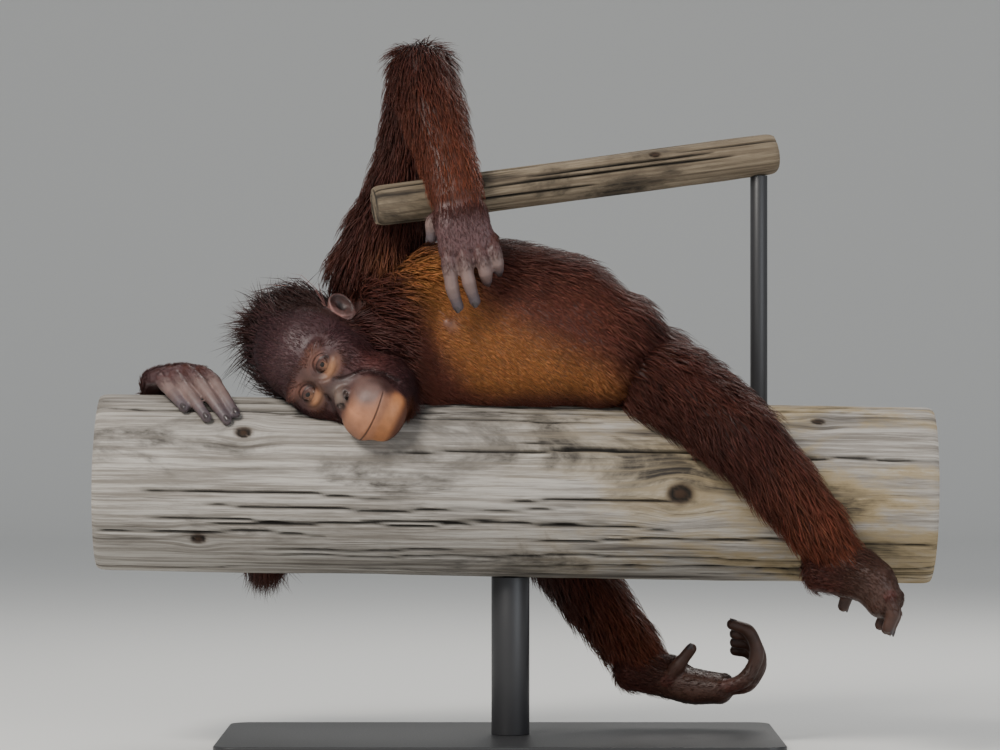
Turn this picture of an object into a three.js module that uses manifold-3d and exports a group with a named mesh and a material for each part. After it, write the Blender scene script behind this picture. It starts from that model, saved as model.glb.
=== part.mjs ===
// A young orangutan lying along a round log, one arm hung over a thinner beam: a still,
// life-size museum model on a plain display stand. Millimetres, +Z up, +Y away from the viewer,
// +X towards the animal's feet. The origin is under the middle of the stand's base.
import * as THREE from 'three';
import { mergeVertices } from 'three/addons/utils/BufferGeometryUtils.js';
import Module from 'manifold-3d';

const wasm = await Module();
wasm.setup();

const V = (x, y, z) => new THREE.Vector3(x, y, z);

// Driving sizes
const GAP = 0.3;                 // left between touching nodes
const WELD = 0.02;               // detail finer than this is joined up
const CORE_SHARE = 0.5;          // how much of the coat's depth the solid core takes up
const LOCKS = true;              // whether locks make up the rest of that depth

const LOG = { radius: 102, from: V(-460, 0, 307.5), to: V(495, 0, 292.5) };
const BEAM = { radius: 24.5, from: V(-142, -64, 622), to: V(318, 44, 688) };
const BASE = { length: 640, depth: 340, height: 18, corner: 24 };
const ROD_LOG = { radius: 22, at: V(12, 0, 0) };
const ROD_BEAM = { radius: 10, at: V(300, 39.8, 0) };

// The head's own axes: to its left ear, to its crown, and the way it faces
const HEAD = {
  eyes: V(-208, -95, 426.5),
  left: V(0.417, -0.357, 0.836).normalize(),
  up: V(-0.895, 0, 0.446).normalize(),
  front: V(-0.159, -0.934, -0.3195).normalize(),
};
const EYE = { apart: 40, radius: 10.5, back: 8, lid: 1.7, openWide: 8.6, openHigh: 4.6 };

// Body forms: a smooth path of stations with the half sizes of the bare body there, across
// (`wide`, along `side`) and through (`deep`), and the depth of the coat at each station.
const FORMS = {
  torso: {
    path: [V(-130, 8, 478), V(-78, 6, 485), V(-10, 2, 486), V(60, -2, 478), V(116, 2, 458), V(160, 10, 440)],
    wide: [72, 90, 93, 88, 70, 50], deep: [60, 73, 78, 82, 74, 60], coat: [16, 15, 13, 12, 15, 18],
    side: V(0, 0, 1), sides: 18, rings: 9, square: 2.5, dome: 0.75,
  },
  neck: {
    path: [V(-196, -26, 452), V(-166, -14, 462), V(-132, 2, 474)],
    wide: [52, 54, 62], deep: [46, 48, 52], coat: [20, 20, 18],
    side: V(0, 0, 1), sides: 12, rings: 3, domeRings: 1,
  },
  arm_left_upper: {
    path: [V(-136, 20, 552), V(-126, 22, 600), V(-113, 24, 650), V(-101, 22, 720), V(-93, 18, 788)],
    wide: [52, 42, 34, 31, 31], deep: [44, 36, 31, 29, 28], coat: [16, 17, 15, 12, 10],
    side: V(1, 0, 0), sides: 10, rings: 6, domeRings: 1,
  },
  arm_left_fore: {
    path: [V(-92, 16, 786), V(-78, -24, 738), V(-62, -63, 683), V(-49, -96, 632)],
    wide: [32, 33, 31, 30], deep: [28, 26, 21, 17], coat: [12, 10, 7, 5],
    side: V(1, 0, 0), sides: 10, rings: 6, domeRings: 1,
  },
  arm_right_upper: {
    path: [V(-124, 52, 440), V(-142, 94, 388), V(-209, 128, 315), V(-275, 152, 243)],
    wide: [44, 40, 32, 31], deep: [40, 36, 31, 30], coat: [14, 16, 14, 12],
    side: V(0, 0.5, 0.86), sides: 10, rings: 6, domeRings: 1,
  },
  arm_right_fore: {
    path: [V(-276, 152, 242), V(-312, 138, 296), V(-352, 108, 353), V(-393, 68, 403)],
    wide: [31, 32, 29, 25], deep: [29, 27, 22, 17], coat: [14, 12, 9, 6],
    side: V(-0.6, 0.7, -0.2), sides: 10, rings: 6, domeRings: 1,
  },
  thigh_left: {
    path: [V(146, 4, 434), V(196, -46, 414), V(238, -92, 388), V(267, -124, 363)],
    wide: [50, 46, 42, 40], deep: [46, 44, 40, 37], coat: [16, 15, 13, 11],
    side: V(0.5, -0.3, 0.8), sides: 11, rings: 6, domeRings: 1,
  },
  shin_left: {
    path: [V(268, -125, 364), V(302, -124, 325), V(340, -121, 280), V(378, -118, 234)],
    wide: [39, 34, 28, 23], deep: [36, 32, 26, 21], coat: [12, 14, 14, 9],
    side: V(0.7, 0, 0.7), sides: 10, rings: 6, domeRings: 1,
  },
  thigh_right: {
    path: [V(132, 66, 420), V(112, 118, 374), V(88, 140, 304), V(66, 150, 232)],
    wide: [50, 44, 40, 38], deep: [46, 42, 38, 36], coat: [14, 15, 13, 12],
    side: V(1, 0, 0.2), sides: 11, rings: 6, domeRings: 1,
  },
  shin_right: {
    path: [V(66, 150, 232), V(98, 140, 186), V(138, 122, 134), V(173, 106, 92)],
    wide: [37, 33, 28, 22], deep: [36, 31, 26, 21], coat: [13, 14, 15, 10],
    side: V(0.75, 0, 0.65), sides: 10, rings: 6, domeRings: 1,
  },
};

// Palms and soles are flat forms, and fingers and toes are tapering ones: base to tip
const HANDS = {
  hand_left: {
    palm: {
      path: [V(-48, -97, 628), V(-43, -105, 602), V(-36, -108, 574)],
      wide: [27, 31, 33], deep: [14, 13, 11], side: V(0.98, 0.05, 0.12), sides: 10, rings: 3, square: 2.6, domeRings: 1,
    },
    radius: 8.6,
    digits: [
      [V(-60, -107, 580), V(-57, -112, 552), V(-53, -111, 526), V(-47, -104, 508)],
      [V(-43, -109, 580), V(-39, -114, 556), V(-34, -113, 532), V(-28, -105, 514)],
      [V(-27, -108, 580), V(-20, -113, 560), V(-16, -108, 544), V(-15, -96, 538)],
      [V(-11, -104, 584), V(-6, -109, 567), V(-3, -106, 556), V(-2, -96, 550)],
      [V(-66, -98, 612), V(-76, -96, 602), V(-77, -93, 586)],
    ],
  },
  hand_right: {
    palm: {
      path: [V(-394, 66, 404), V(-384, 30, 427), V(-366, -6, 431)],
      wide: [24, 29, 32], deep: [14, 13, 11], side: V(0.98, 0.1, 0.15), sides: 10, rings: 3, square: 2.6, domeRings: 1,
    },
    radius: 8,
    digits: [
      [V(-343, -2, 434), V(-328, -32, 425), V(-313, -54, 405), V(-300, -70, 388)],
      [V(-361, -4, 436), V(-345, -38, 424), V(-327, -60, 403), V(-309, -76, 380)],
      [V(-378, -4, 434), V(-365, -36, 421), V(-348, -58, 403), V(-332, -74, 383)],
      [V(-391, 0, 429), V(-383, -26, 420), V(-371, -46, 408), V(-358, -62, 394)],
    ],
  },
  foot_left: {
    palm: {
      path: [V(357, -108, 212), V(385, -116, 212), V(414, -122, 200), V(431, -123, 178)],
      wide: [25, 30, 27, 22], deep: [21, 24, 28, 27], side: V(0.6, 0, 0.8), sides: 10, rings: 4, square: 2.4, domeRings: 1,
    },
    radius: 8.8,
    digits: [
      [V(432, -142, 184), V(438, -142, 166), V(433, -140, 149)],
      [V(433, -129, 184), V(441, -130, 164), V(436, -128, 146)],
      [V(432, -116, 184), V(440, -116, 163), V(434, -115, 146)],
      [V(428, -103, 184), V(434, -103, 164), V(428, -102, 150)],
      [V(386, -96, 204), V(392, -88, 186), V(388, -84, 170)],
    ],
  },
  foot_right: {
    palm: {
      path: [V(153, 108, 82), V(184, 100, 80), V(222, 92, 67), V(258, 84, 64)],
      wide: [22, 25, 21, 18], deep: [22, 24, 27, 28], side: V(0, 0, 1), sides: 10, rings: 4, square: 2.4, domeRings: 1,
    },
    radius: 8.8,
    digits: [
      [V(256, 104, 64), V(286, 104, 66), V(303, 102, 86), V(294, 100, 104), V(276, 98, 108)],
      [V(258, 91, 64), V(289, 90, 68), V(304, 88, 92), V(294, 86, 114), V(275, 84, 118)],
      [V(258, 78, 64), V(288, 76, 70), V(303, 74, 98), V(293, 72, 124), V(274, 70, 129)],
      [V(256, 66, 66), V(284, 63, 76), V(299, 61, 106), V(289, 59, 133), V(270, 57, 141)],
      [V(196, 78, 74), V(208, 72, 92), V(223, 67, 112)],
    ],
  },
};

const EAR = { high: 18, wide: 12.5, rim: 2.2, cup: 6, back: 3 };

// Colours and finish of each kind of surface
const FINISH = {
  coat: { color: 0x4a2016, roughness: 0.85 },
  belly: { color: 0x8a4a1e, roughness: 0.8 },
  skin: { color: 0x5a4038, roughness: 0.6 },
  hand: { color: 0x8a6a62, roughness: 0.65 },
  foot: { color: 0x43261c, roughness: 0.65 },
  eye: { color: 0x2a1508, roughness: 0.1 },
  wood: { color: 0x8f8778, roughness: 0.9 },
  beam: { color: 0x5b5042, roughness: 0.9 },
  stand: { color: 0x2a2a2a, roughness: 0.5 },
};

// A closed surface whose rows run from one pole to the other: place(row, turn) gives its points
function sweep(sides, rows, place) {
  const geometry = new THREE.SphereGeometry(1, sides, rows);
  const at = geometry.attributes.position;
  for (let i = 0; i < at.count; i++) {
    const row = Math.floor(i / (sides + 1));
    const turn = ((i % (sides + 1)) % sides) / sides * Math.PI * 2;
    at.setXYZ(i, ...place(row, turn).toArray());
  }
  return solid(geometry);
}

// A three.js geometry as a solid that can be joined and cut
function solid(geometry) {
  const bare = geometry.clone();
  bare.deleteAttribute('normal');
  bare.deleteAttribute('uv');
  const merged = mergeVertices(bare, 1e-4);
  const triVerts = new Uint32Array(merged.index.array);
  const vertProperties = new Float32Array(merged.attributes.position.array);
  if (signedVolume(vertProperties, triVerts) < 0) flip(triVerts);
  return new wasm.Manifold(new wasm.Mesh({ numProp: 3, vertProperties, triVerts }));
}

function signedVolume(points, triangles) {
  const corner = (k) => V(points[3 * k], points[3 * k + 1], points[3 * k + 2]);
  let sum = 0;
  for (let i = 0; i < triangles.length; i += 3) {
    const [a, b, c] = [0, 1, 2].map((k) => corner(triangles[i + k]));
    sum += a.dot(b.cross(c)) / 6;
  }
  return sum;
}

function flip(triangles) {
  for (let i = 0; i < triangles.length; i += 3) {
    [triangles[i + 1], triangles[i + 2]] = [triangles[i + 2], triangles[i + 1]];
  }
}

const union = (parts) => wasm.Manifold.union(parts);
const mix = (a, b, t) => a + (b - a) * t;
const clamp = (x, low, high) => Math.min(high, Math.max(low, x));

// A value of a list of stations at a share t of the path
function along(list, t) {
  const x = clamp(t, 0, 1) * (list.length - 1);
  const i = Math.min(Math.floor(x), list.length - 2);
  const s = x - i;
  return mix(list[i], list[i + 1], s * s * (3 - 2 * s));
}

// Where a form's path is at t, with its axes there and its half sizes, `share` of the coat added
function section(form, t, share, grow = 0) {
  const curve = form.curve ?? (form.curve = new THREE.CatmullRomCurve3(form.path, false, 'centripetal'));
  const centre = curve.getPoint(clamp(t, 0, 1));
  const tangent = curve.getTangent(clamp(t, 0.001, 0.999));
  const side = form.side.clone().addScaledVector(tangent, -form.side.dot(tangent)).normalize();
  const through = side.clone().cross(tangent).normalize();
  const extra = (form.coat ? along(form.coat, t) * share : 0) + grow;
  return { centre, tangent, side, through, wide: along(form.wide, t) + extra, deep: along(form.deep, t) + extra };
}

// A point of a form's surface: t along the path and an angle around it
function onForm(form, t, angle, share, grow = 0, scale = 1) {
  const s = section(form, t, share, grow);
  const power = 2 / (form.square ?? 2);
  const c = Math.sign(Math.cos(angle)) * Math.abs(Math.cos(angle)) ** power;
  const d = Math.sign(Math.sin(angle)) * Math.abs(Math.sin(angle)) ** power;
  return s.centre.clone()
    .addScaledVector(s.side, c * s.wide * scale)
    .addScaledVector(s.through, d * s.deep * scale);
}

// A form as a solid: rings along its path, closed by a dome at each end
function formSolid(form, share = 0, grow = 0) {
  const domeRings = form.domeRings ?? 2;
  const rings = form.rings;
  const rows = rings + 2 * domeRings + 2;
  const sides = form.sides;
  return sweep(sides, rows, (row, turn) => {
    const k = row - domeRings - 1;
    const t = clamp(k / rings, 0, 1);
    const beyond = k < 0 ? k / (domeRings + 1) : Math.max(0, k - rings) / (domeRings + 1);
    const lean = Math.abs(beyond) * Math.PI / 2;
    const s = section(form, t, share, grow);
    const reach = Math.min(s.wide, s.deep) * (form.dome ?? 0.85) * Math.sin(lean) * Math.sign(beyond);
    const scale = Math.max(0, Math.cos(lean));
    const point = onForm(form, t, turn, share, grow, Math.abs(beyond) === 1 ? 0 : scale);
    return point.addScaledVector(s.tangent, reach);
  });
}

// A straight round bar between two points
function bar(from, to, radius, sides, rows, grow = 0) {
  const axis = to.clone().sub(from).normalize();
  const start = from.clone().addScaledVector(axis, -grow);
  const length = to.distanceTo(from) + 2 * grow;
  const geometry = new THREE.CylinderGeometry(radius + grow, radius + grow, length, sides, rows);
  geometry.applyQuaternion(new THREE.Quaternion().setFromUnitVectors(V(0, 1, 0), axis));
  geometry.translate(...start.addScaledVector(axis, length / 2).toArray());
  return solid(geometry);
}

// Head
const headPoint = (l, u, f) => HEAD.eyes.clone()
  .addScaledVector(HEAD.left, l).addScaledVector(HEAD.up, u).addScaledVector(HEAD.front, f);

function ellipsoid(p, centre, half) {
  const q = p.clone().sub(centre);
  const k0 = q.clone().divide(half).length();
  const k1 = q.clone().divide(half).divide(half).length();
  return k1 === 0 ? -half.x : k0 * (k0 - 1) / k1;
}

function blend(a, b, k) {
  const h = Math.max(k - Math.abs(a - b), 0) / k;
  return Math.min(a, b) - h * h * k / 4;
}

const carve = (a, b, k) => -blend(-a, b, k);

// Height of the line between the lips at a distance x from the middle of the face
const mouthHeight = (x) => -80 + x * x / 260;

// Signed distance to the head's surface, in its own axes from the middle of the eyes: x to the
// left ear, y to the crown, z forward. `share` of the coat's depth is added over the skull.
function headField(p, share) {
  let d = ellipsoid(p, V(0, 14, -62), V(57, 67, 65));
  d = blend(d, ellipsoid(p, V(0, -14, -26), V(54, 42, 28)), 16);
  d = blend(d, ellipsoid(p, V(0, -64, -29), V(47, 46, 37)), 16);
  d = blend(d, ellipsoid(p, V(0, -69, 8), V(36, 30, 32)), 12);
  d = blend(d, ellipsoid(p, V(0, -95, 4), V(29, 16, 24)), 12);
  d = blend(d, ellipsoid(p, V(0, -15, 0), V(6, 20, 5)), 10);
  d = blend(d, ellipsoid(p, V(0, -36, 12), V(10, 8, 8)), 8);
  for (const s of [-1, 1]) {
    d = blend(d, ellipsoid(p, V(s * 22, 16, -6), V(18, 5.5, 7)), 8);
    d = carve(d, ellipsoid(p, V(s * 20, 0, 8), V(14, 11, 12)), 8);
    d = blend(d, ellipsoid(p, V(s * EYE.apart / 2, 0, -EYE.back), V(1, 1, 1).multiplyScalar(EYE.radius + EYE.lid)), 3);
    d = blend(d, ellipsoid(p, V(s * 8, -38.5, 14.5), V(5, 5.5, 5)), 4);
  }
  const lips = Math.exp(-(((p.y - mouthHeight(p.x)) / 8) ** 2)) * clamp(p.z / 18, 0, 1);
  d -= 2.2 * lips;
  const cap = ellipsoid(p, V(0, 38, -84), V(56 + 22 * share, 48 + 22 * share, 56 + 20 * share));
  const nape = ellipsoid(p, V(0, -20, -92), V(50 + 18 * share, 56 + 18 * share, 44 + 20 * share));
  return blend(blend(d, cap, 10), nape, 10);
}

// The middle of the head, from which rays go out to its surface
const HEAD_MIDDLE = V(0, -16, -42);

// Where the ray from the head's middle in a direction of its own axes meets the surface
function onHead(way, share, grow = 0) {
  let near = 10;
  let far = 190;
  for (let i = 0; i < 34; i++) {
    const half = (near + far) / 2;
    const inside = headField(HEAD_MIDDLE.clone().addScaledVector(way, half), share) < grow;
    if (inside) near = half; else far = half;
  }
  const p = HEAD_MIDDLE.clone().addScaledVector(way, near);
  return headPoint(p.x, p.y, p.z);
}

// The head as rows around the way it faces, closer together over the face
function headSolid(share, grow = 0) {
  const rows = 22;
  return sweep(28, rows, (row, turn) => {
    const lean = Math.PI * (row / rows) ** 1.25;
    const way = V(Math.cos(turn) * Math.sin(lean), Math.sin(turn) * Math.sin(lean), Math.cos(lean));
    return onHead(way, share, grow);
  });
}

const eyeAt = (s) => headPoint(s * EYE.apart / 2, 0, -EYE.back);

function eyeSolid(s, grow = 0) {
  const centre = eyeAt(s);
  return sweep(10, 6, (row, turn) => {
    const lean = Math.PI * row / 6;
    const r = EYE.radius + grow;
    return centre.clone()
      .addScaledVector(HEAD.front, r * Math.cos(lean))
      .addScaledVector(HEAD.left, r * Math.sin(lean) * Math.cos(turn))
      .addScaledVector(HEAD.up, r * Math.sin(lean) * Math.sin(turn));
  });
}

// The gap between the lids: an almond pushed back from in front of the face
function lidOpening(s) {
  return sweep(14, 4, (row, turn) => {
    const depth = [30, 22, 8, -9, -9][row];
    const full = row === 0 || row === 4 ? 0 : 1;
    const across = full * EYE.openWide * Math.cos(turn);
    const lift = full * EYE.openHigh * Math.sin(turn) * (1 - 0.35 * Math.abs(Math.cos(turn)));
    return headPoint(s * EYE.apart / 2 + across, lift, depth);
  });
}

// The line of the mouth: a thin curved blade, lower at its ends
function mouthLine() {
  const path = [];
  for (let k = -4; k <= 4; k++) {
    const x = k * 8;
    path.push(headPoint(x, mouthHeight(x), 39 - x * x / 66));
  }
  const form = { path, wide: [7, 7], deep: [0.9, 1.1, 0.9], side: HEAD.front.clone(), sides: 8, rings: 12, dome: 0.6 };
  return formSolid(form);
}

function nostril(s) {
  const form = {
    path: [headPoint(s * 9.4, -37, 17), headPoint(s * 4.2, -43, 22)],
    wide: [2.2, 2.2], deep: [4, 4], side: HEAD.up.clone(), sides: 8, rings: 2,
  };
  return formSolid(form);
}

function headCuts() {
  return union([mouthLine(), nostril(1), nostril(-1), lidOpening(1), lidOpening(-1)]);
}

// An ear: a round cup with a rim, set on the side of the head and turned a little forward
function earSolid(s, at, grow = 0) {
  const out = HEAD.left.clone().multiplyScalar(0.82 * s).addScaledVector(HEAD.front, 0.57).normalize();
  const tall = HEAD.up.clone().addScaledVector(HEAD.front, -0.25);
  tall.addScaledVector(out, -tall.dot(out)).normalize();
  const across = tall.clone().cross(out).normalize();
  const middle = headPoint(...at);
  const rows = 8;
  return sweep(12, rows, (row, turn) => {
    const onFront = row <= rows / 2;
    const reach = Math.sin(Math.PI * row / rows) ** 0.7;
    const high = (EAR.high + grow) * reach * Math.sin(turn) * (Math.sin(turn) < 0 ? 1.05 : 1);
    const wide = (EAR.wide + grow) * reach * Math.cos(turn) * (1 + 0.15 * Math.sin(turn));
    const cup = EAR.rim * Math.sin(Math.PI * reach ** 2) - EAR.cup * (1 - reach ** 2) + grow;
    const back = -EAR.back - 12 * (1 - reach ** 2) - grow;
    return middle.clone()
      .addScaledVector(tall, high).addScaledVector(across, wide)
      .addScaledVector(out, onFront ? cup : back);
  });
}

// A hand or foot: a flat palm or sole with its digits joined on
function handSolid(hand, grow = 0) {
  const parts = [formSolid(hand.palm, 0, grow)];
  for (const path of hand.digits) {
    const r = hand.radius;
    const form = {
      path, wide: [r, r * 0.95, r * 0.9, r * 0.66], deep: [r, r * 0.95, r * 0.9, r * 0.66],
      side: V(0.95, 0.25, 0.15), sides: 6, rings: 4, dome: 1, domeRings: 1,
    };
    parts.push(formSolid(form, 0, grow));
  }
  return union(parts);
}

// Repeatable random numbers from 0 to 1
function seeded(seed) {
  let state = seed;
  return () => {
    state = (state + 0x6d2b79f5) | 0;
    let x = Math.imul(state ^ (state >>> 15), 1 | state);
    x = (x + Math.imul(x ^ (x >>> 7), 61 | x)) ^ x;
    return ((x ^ (x >>> 14)) >>> 0) / 4294967296;
  };
}

// One lock: a flat strip of hair from a sunk root to a point, bent outward and then down
function lock({ root, out, lie, length, width, sink, rise, sag }, grow) {
  const across = lie.clone().cross(out).normalize();
  const middle = (t) => root.clone()
    .addScaledVector(out, mix(-sink, rise, t ** 0.8))
    .addScaledVector(lie, length * t)
    .add(V(0, 0, -sag * t * t));
  const spread = [0, 0.72, 1, 0.7, 0];
  return sweep(4, 4, (row, turn) => {
    const t = row / 4;
    const edge = spread[row] * width + (spread[row] > 0 ? grow : 0);
    const thin = spread[row] * width * 0.2 + (spread[row] > 0 ? grow : 0);
    const end = row === 0 ? -grow : row === 4 ? 2 * grow : 0;
    return middle(t)
      .addScaledVector(lie, end)
      .addScaledVector(across, edge * Math.cos(turn))
      .addScaledVector(out, thin * Math.sin(turn));
  });
}

// A lock rooted on a core: `full` is the coat's depth there, and `lie` the way its hair runs
function plant({ root, out, lie, full, coat, random }, grow) {
  const size = random();
  const along = lie.clone().addScaledVector(out, -lie.dot(out)).normalize();
  return lock({
    root, out, lie: along, sink: 4,
    length: coat.length * mix(0.8, 1.15, size),
    width: coat.width * mix(0.8, 1.1, random()),
    rise: full * (1 - CORE_SHARE) * mix(0.8, 1.1, size),
    sag: full * coat.hang * 0.5,
  }, grow);
}

// Locks over a form, from `from` to `to` along its path, laid along it and hanging a little
function formLocks(name, grow) {
  const form = FORMS[name];
  const coat = COATS[name];
  const random = seeded(coat.seed);
  const locks = [];
  for (let i = 0; i < coat.count; i++) {
    const t = mix(coat.from, coat.to, (i + random()) / coat.count);
    const root = onForm(form, t, (i * 2.39996 + random()) % (Math.PI * 2), CORE_SHARE);
    const s = section(form, t, CORE_SHARE);
    const out = root.clone().sub(s.centre).normalize();
    const lie = s.tangent.clone().multiplyScalar(coat.flow)
      .addScaledVector(V(0, 0, -1), coat.hang)
      .addScaledVector(s.tangent.clone().cross(out), (random() - 0.5) * 0.7);
    if (coat.skip && coat.skip(root)) continue;
    locks.push(plant({ root, out, lie, full: along(form.coat, t), coat, random }, grow));
  }
  return locks;
}

// Locks over the crown, the sides and the back of the head, swept back from the face
function headLocks(grow) {
  const coat = COATS.head;
  const random = seeded(coat.seed);
  const locks = [];
  for (let i = 0; i < coat.count; i++) {
    const lean = mix(1.05, 2.7, (i + random()) / coat.count);
    const turn = Math.PI * (0.5 + 1.1 * (((i * 0.618) % 1) - 0.5));
    const way = V(Math.cos(turn) * Math.sin(lean), Math.sin(turn) * Math.sin(lean), Math.cos(lean));
    const root = onHead(way, CORE_SHARE);
    const out = headPoint(way.x, way.y, way.z).sub(HEAD.eyes);
    const lie = HEAD.front.clone().multiplyScalar(-1)
      .addScaledVector(HEAD.up, 0.7 * Math.cos(lean))
      .addScaledVector(HEAD.left, (random() - 0.5) * 0.6);
    locks.push(plant({ root, out, lie, full: 26, coat, random }, grow));
  }
  return locks;
}

// Where each form carries locks; roots over the belly and inside the joints are left out
const frontLow = (p) => p.y < -30 && p.x > -60 && p.x < 130;
const COATS = {
  head: { seed: 10, count: 16, hang: 0.1, length: 50, width: 17 },
  torso: { seed: 11, count: 28, from: 0.03, to: 0.86, flow: 1, hang: 0.35, length: 84, width: 19, skip: frontLow },
  neck: { seed: 12, count: 8, from: 0.1, to: 0.9, flow: 1, hang: 0.5, length: 60, width: 16 },
  arm_left_upper: { seed: 13, count: 14, from: 0.15, to: 0.9, flow: -1, hang: 0.3, length: 74, width: 14 },
  arm_left_fore: { seed: 14, count: 11, from: 0.08, to: 0.65, flow: 1, hang: 0.3, length: 58, width: 11 },
  arm_right_upper: { seed: 15, count: 13, from: 0.3, to: 0.95, flow: 1, hang: 0.5, length: 74, width: 14 },
  arm_right_fore: { seed: 16, count: 12, from: 0.05, to: 0.8, flow: -1, hang: 0.9, length: 70, width: 13 },
  thigh_left: { seed: 17, count: 17, from: 0.12, to: 0.9, flow: 1, hang: 0.2, length: 72, width: 16 },
  shin_left: { seed: 18, count: 13, from: 0.05, to: 0.8, flow: 1, hang: 0.5, length: 62, width: 13 },
  thigh_right: { seed: 19, count: 14, from: 0.2, to: 0.9, flow: 1, hang: 0.3, length: 72, width: 16 },
  shin_right: { seed: 20, count: 14, from: 0.05, to: 0.8, flow: 1, hang: 0.4, length: 62, width: 13 },
};

// Nodes in the order in which they take up room: each is cut clear of those before it
function nodeList() {
  const list = [];
  const add = (name, finish, core, locks = null) => list.push({ name, finish, core, locks });
  add('perch_log', 'wood', (g) => bar(LOG.from, LOG.to, LOG.radius, 36, 4, g));
  add('perch_beam', 'beam', (g) => bar(BEAM.from, BEAM.to, BEAM.radius, 18, 2, g));
  add('stand_base', 'stand', baseSolid);
  add('stand_rod_log', 'stand', (g) => bar(lift(ROD_LOG.at, BASE.height + GAP), lift(ROD_LOG.at, 240),
    ROD_LOG.radius, 20, 1, g));
  add('stand_rod_beam', 'stand', (g) => bar(lift(ROD_BEAM.at, 350), lift(ROD_BEAM.at, 690), ROD_BEAM.radius, 14, 1, g));
  add('eye_left', 'eye', (g) => eyeSolid(1, g));
  add('eye_right', 'eye', (g) => eyeSolid(-1, g));
  add('ear_left', 'skin', (g) => earSolid(1, [66, 12, -74], g));
  add('ear_right', 'skin', (g) => earSolid(-1, [-64, 20, -92], g));
  add('head', 'skin', (g) => headSolid(CORE_SHARE, g), LOCKS ? headLocks : null);
  for (const name of Object.keys(HANDS)) {
    add(name, name.startsWith('hand') ? 'hand' : 'foot', (g) => handSolid(HANDS[name], g));
  }
  for (const name of Object.keys(FORMS)) {
    const locks = LOCKS ? (g) => formLocks(name, g) : null;
    add(name, name === 'torso' ? 'belly' : 'coat', (g) => formSolid(FORMS[name], CORE_SHARE, g), locks);
  }
  return list;
}

const lift = (p, z) => V(p.x, p.y, z);

function baseSolid(grow = 0) {
  const w = BASE.length / 2 + grow;
  const d = BASE.depth / 2 + grow;
  const r = BASE.corner;
  const outline = new THREE.Shape();
  outline.absarc(w - r, d - r, r, 0, Math.PI / 2);
  outline.absarc(r - w, d - r, r, Math.PI / 2, Math.PI);
  outline.absarc(r - w, r - d, r, Math.PI, Math.PI * 1.5);
  outline.absarc(w - r, r - d, r, Math.PI * 1.5, Math.PI * 2);
  const geometry = new THREE.ExtrudeGeometry(outline, { depth: BASE.height + grow, bevelEnabled: false, curveSegments: 6 });
  return solid(geometry);
}

const overlaps = (a, b) => {
  const [p, q] = [a.boundingBox(), b.boundingBox()];
  return [0, 1, 2].every((k) => p.min[k] < q.max[k] && q.min[k] < p.max[k]);
};

function cutClear(body, others) {
  let result = body;
  for (const other of others) {
    if (overlaps(result, other)) result = result.subtract(other);
  }
  return result;
}

const largest = (body) => body.decompose().sort((a, b) => b.volume() - a.volume())[0];

// Builds every node: the cores are cut by the cores before them, and the locks by every core
// and by the locks before them
function buildNodes() {
  const nodes = nodeList();
  for (const node of nodes) {
    node.body = node.core(0);
    node.grown = node.core(GAP);
    node.hair = node.locks ? union(node.locks(0)) : null;
    node.grownHair = node.locks ? union(node.locks(GAP)) : null;
  }
  return nodes.map((node, i) => {
    const before = nodes.slice(0, i);
    let body = cutClear(node.body, before.map((n) => n.grown));
    if (node.name === 'head') body = body.subtract(headCuts());
    if (node.hair) {
      const others = nodes.filter((n) => n !== node).map((n) => n.grown);
      const hairBefore = before.filter((n) => n.grownHair).map((n) => n.grownHair);
      body = body.add(cutClear(cutClear(node.hair, others), hairBefore));
    }
    return { name: node.name, finish: node.finish, body: largest(body.simplify(WELD)) };
  });
}

function meshOf({ name, finish, body }) {
  const mesh = body.getMesh();
  const geometry = new THREE.BufferGeometry();
  geometry.setAttribute('position', new THREE.BufferAttribute(new Float32Array(mesh.vertProperties), 3));
  geometry.setIndex(new THREE.BufferAttribute(new Uint32Array(mesh.triVerts), 1));
  geometry.computeVertexNormals();
  const result = new THREE.Mesh(geometry, new THREE.MeshStandardMaterial({ ...FINISH[finish], metalness: 0 }));
  result.name = name;
  return result;
}

const orangutan = new THREE.Group();
orangutan.name = 'orangutan';
for (const node of buildNodes()) orangutan.add(meshOf(node));

export default orangutan;
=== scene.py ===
import math

import bmesh
import bpy
import numpy as np
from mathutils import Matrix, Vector


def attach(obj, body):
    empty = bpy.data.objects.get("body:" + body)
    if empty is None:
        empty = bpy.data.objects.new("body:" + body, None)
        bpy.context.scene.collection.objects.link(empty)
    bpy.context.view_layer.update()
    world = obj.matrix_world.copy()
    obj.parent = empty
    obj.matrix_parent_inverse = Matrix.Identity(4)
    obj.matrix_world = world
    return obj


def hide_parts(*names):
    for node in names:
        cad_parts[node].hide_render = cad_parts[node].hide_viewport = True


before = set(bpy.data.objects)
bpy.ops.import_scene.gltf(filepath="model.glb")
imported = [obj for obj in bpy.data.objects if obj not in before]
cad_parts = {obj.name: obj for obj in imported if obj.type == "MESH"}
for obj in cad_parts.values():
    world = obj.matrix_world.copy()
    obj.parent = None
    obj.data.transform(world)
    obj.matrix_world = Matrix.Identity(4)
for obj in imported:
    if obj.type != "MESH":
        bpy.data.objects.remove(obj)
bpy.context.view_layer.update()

# Camera: a long lens level with the animal's belly, at the photograph's view.
# The frame is 1.15 m wide at the log's axis.
camera = bpy.data.objects.new("camera", bpy.data.cameras.new("camera"))
camera.data.lens = 150
camera.data.sensor_width = 36
camera.location = (0, -4.79, 0.431)
camera.rotation_euler = (math.radians(90), 0, 0)
bpy.context.scene.collection.objects.link(camera)
bpy.context.scene.camera = camera

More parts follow.
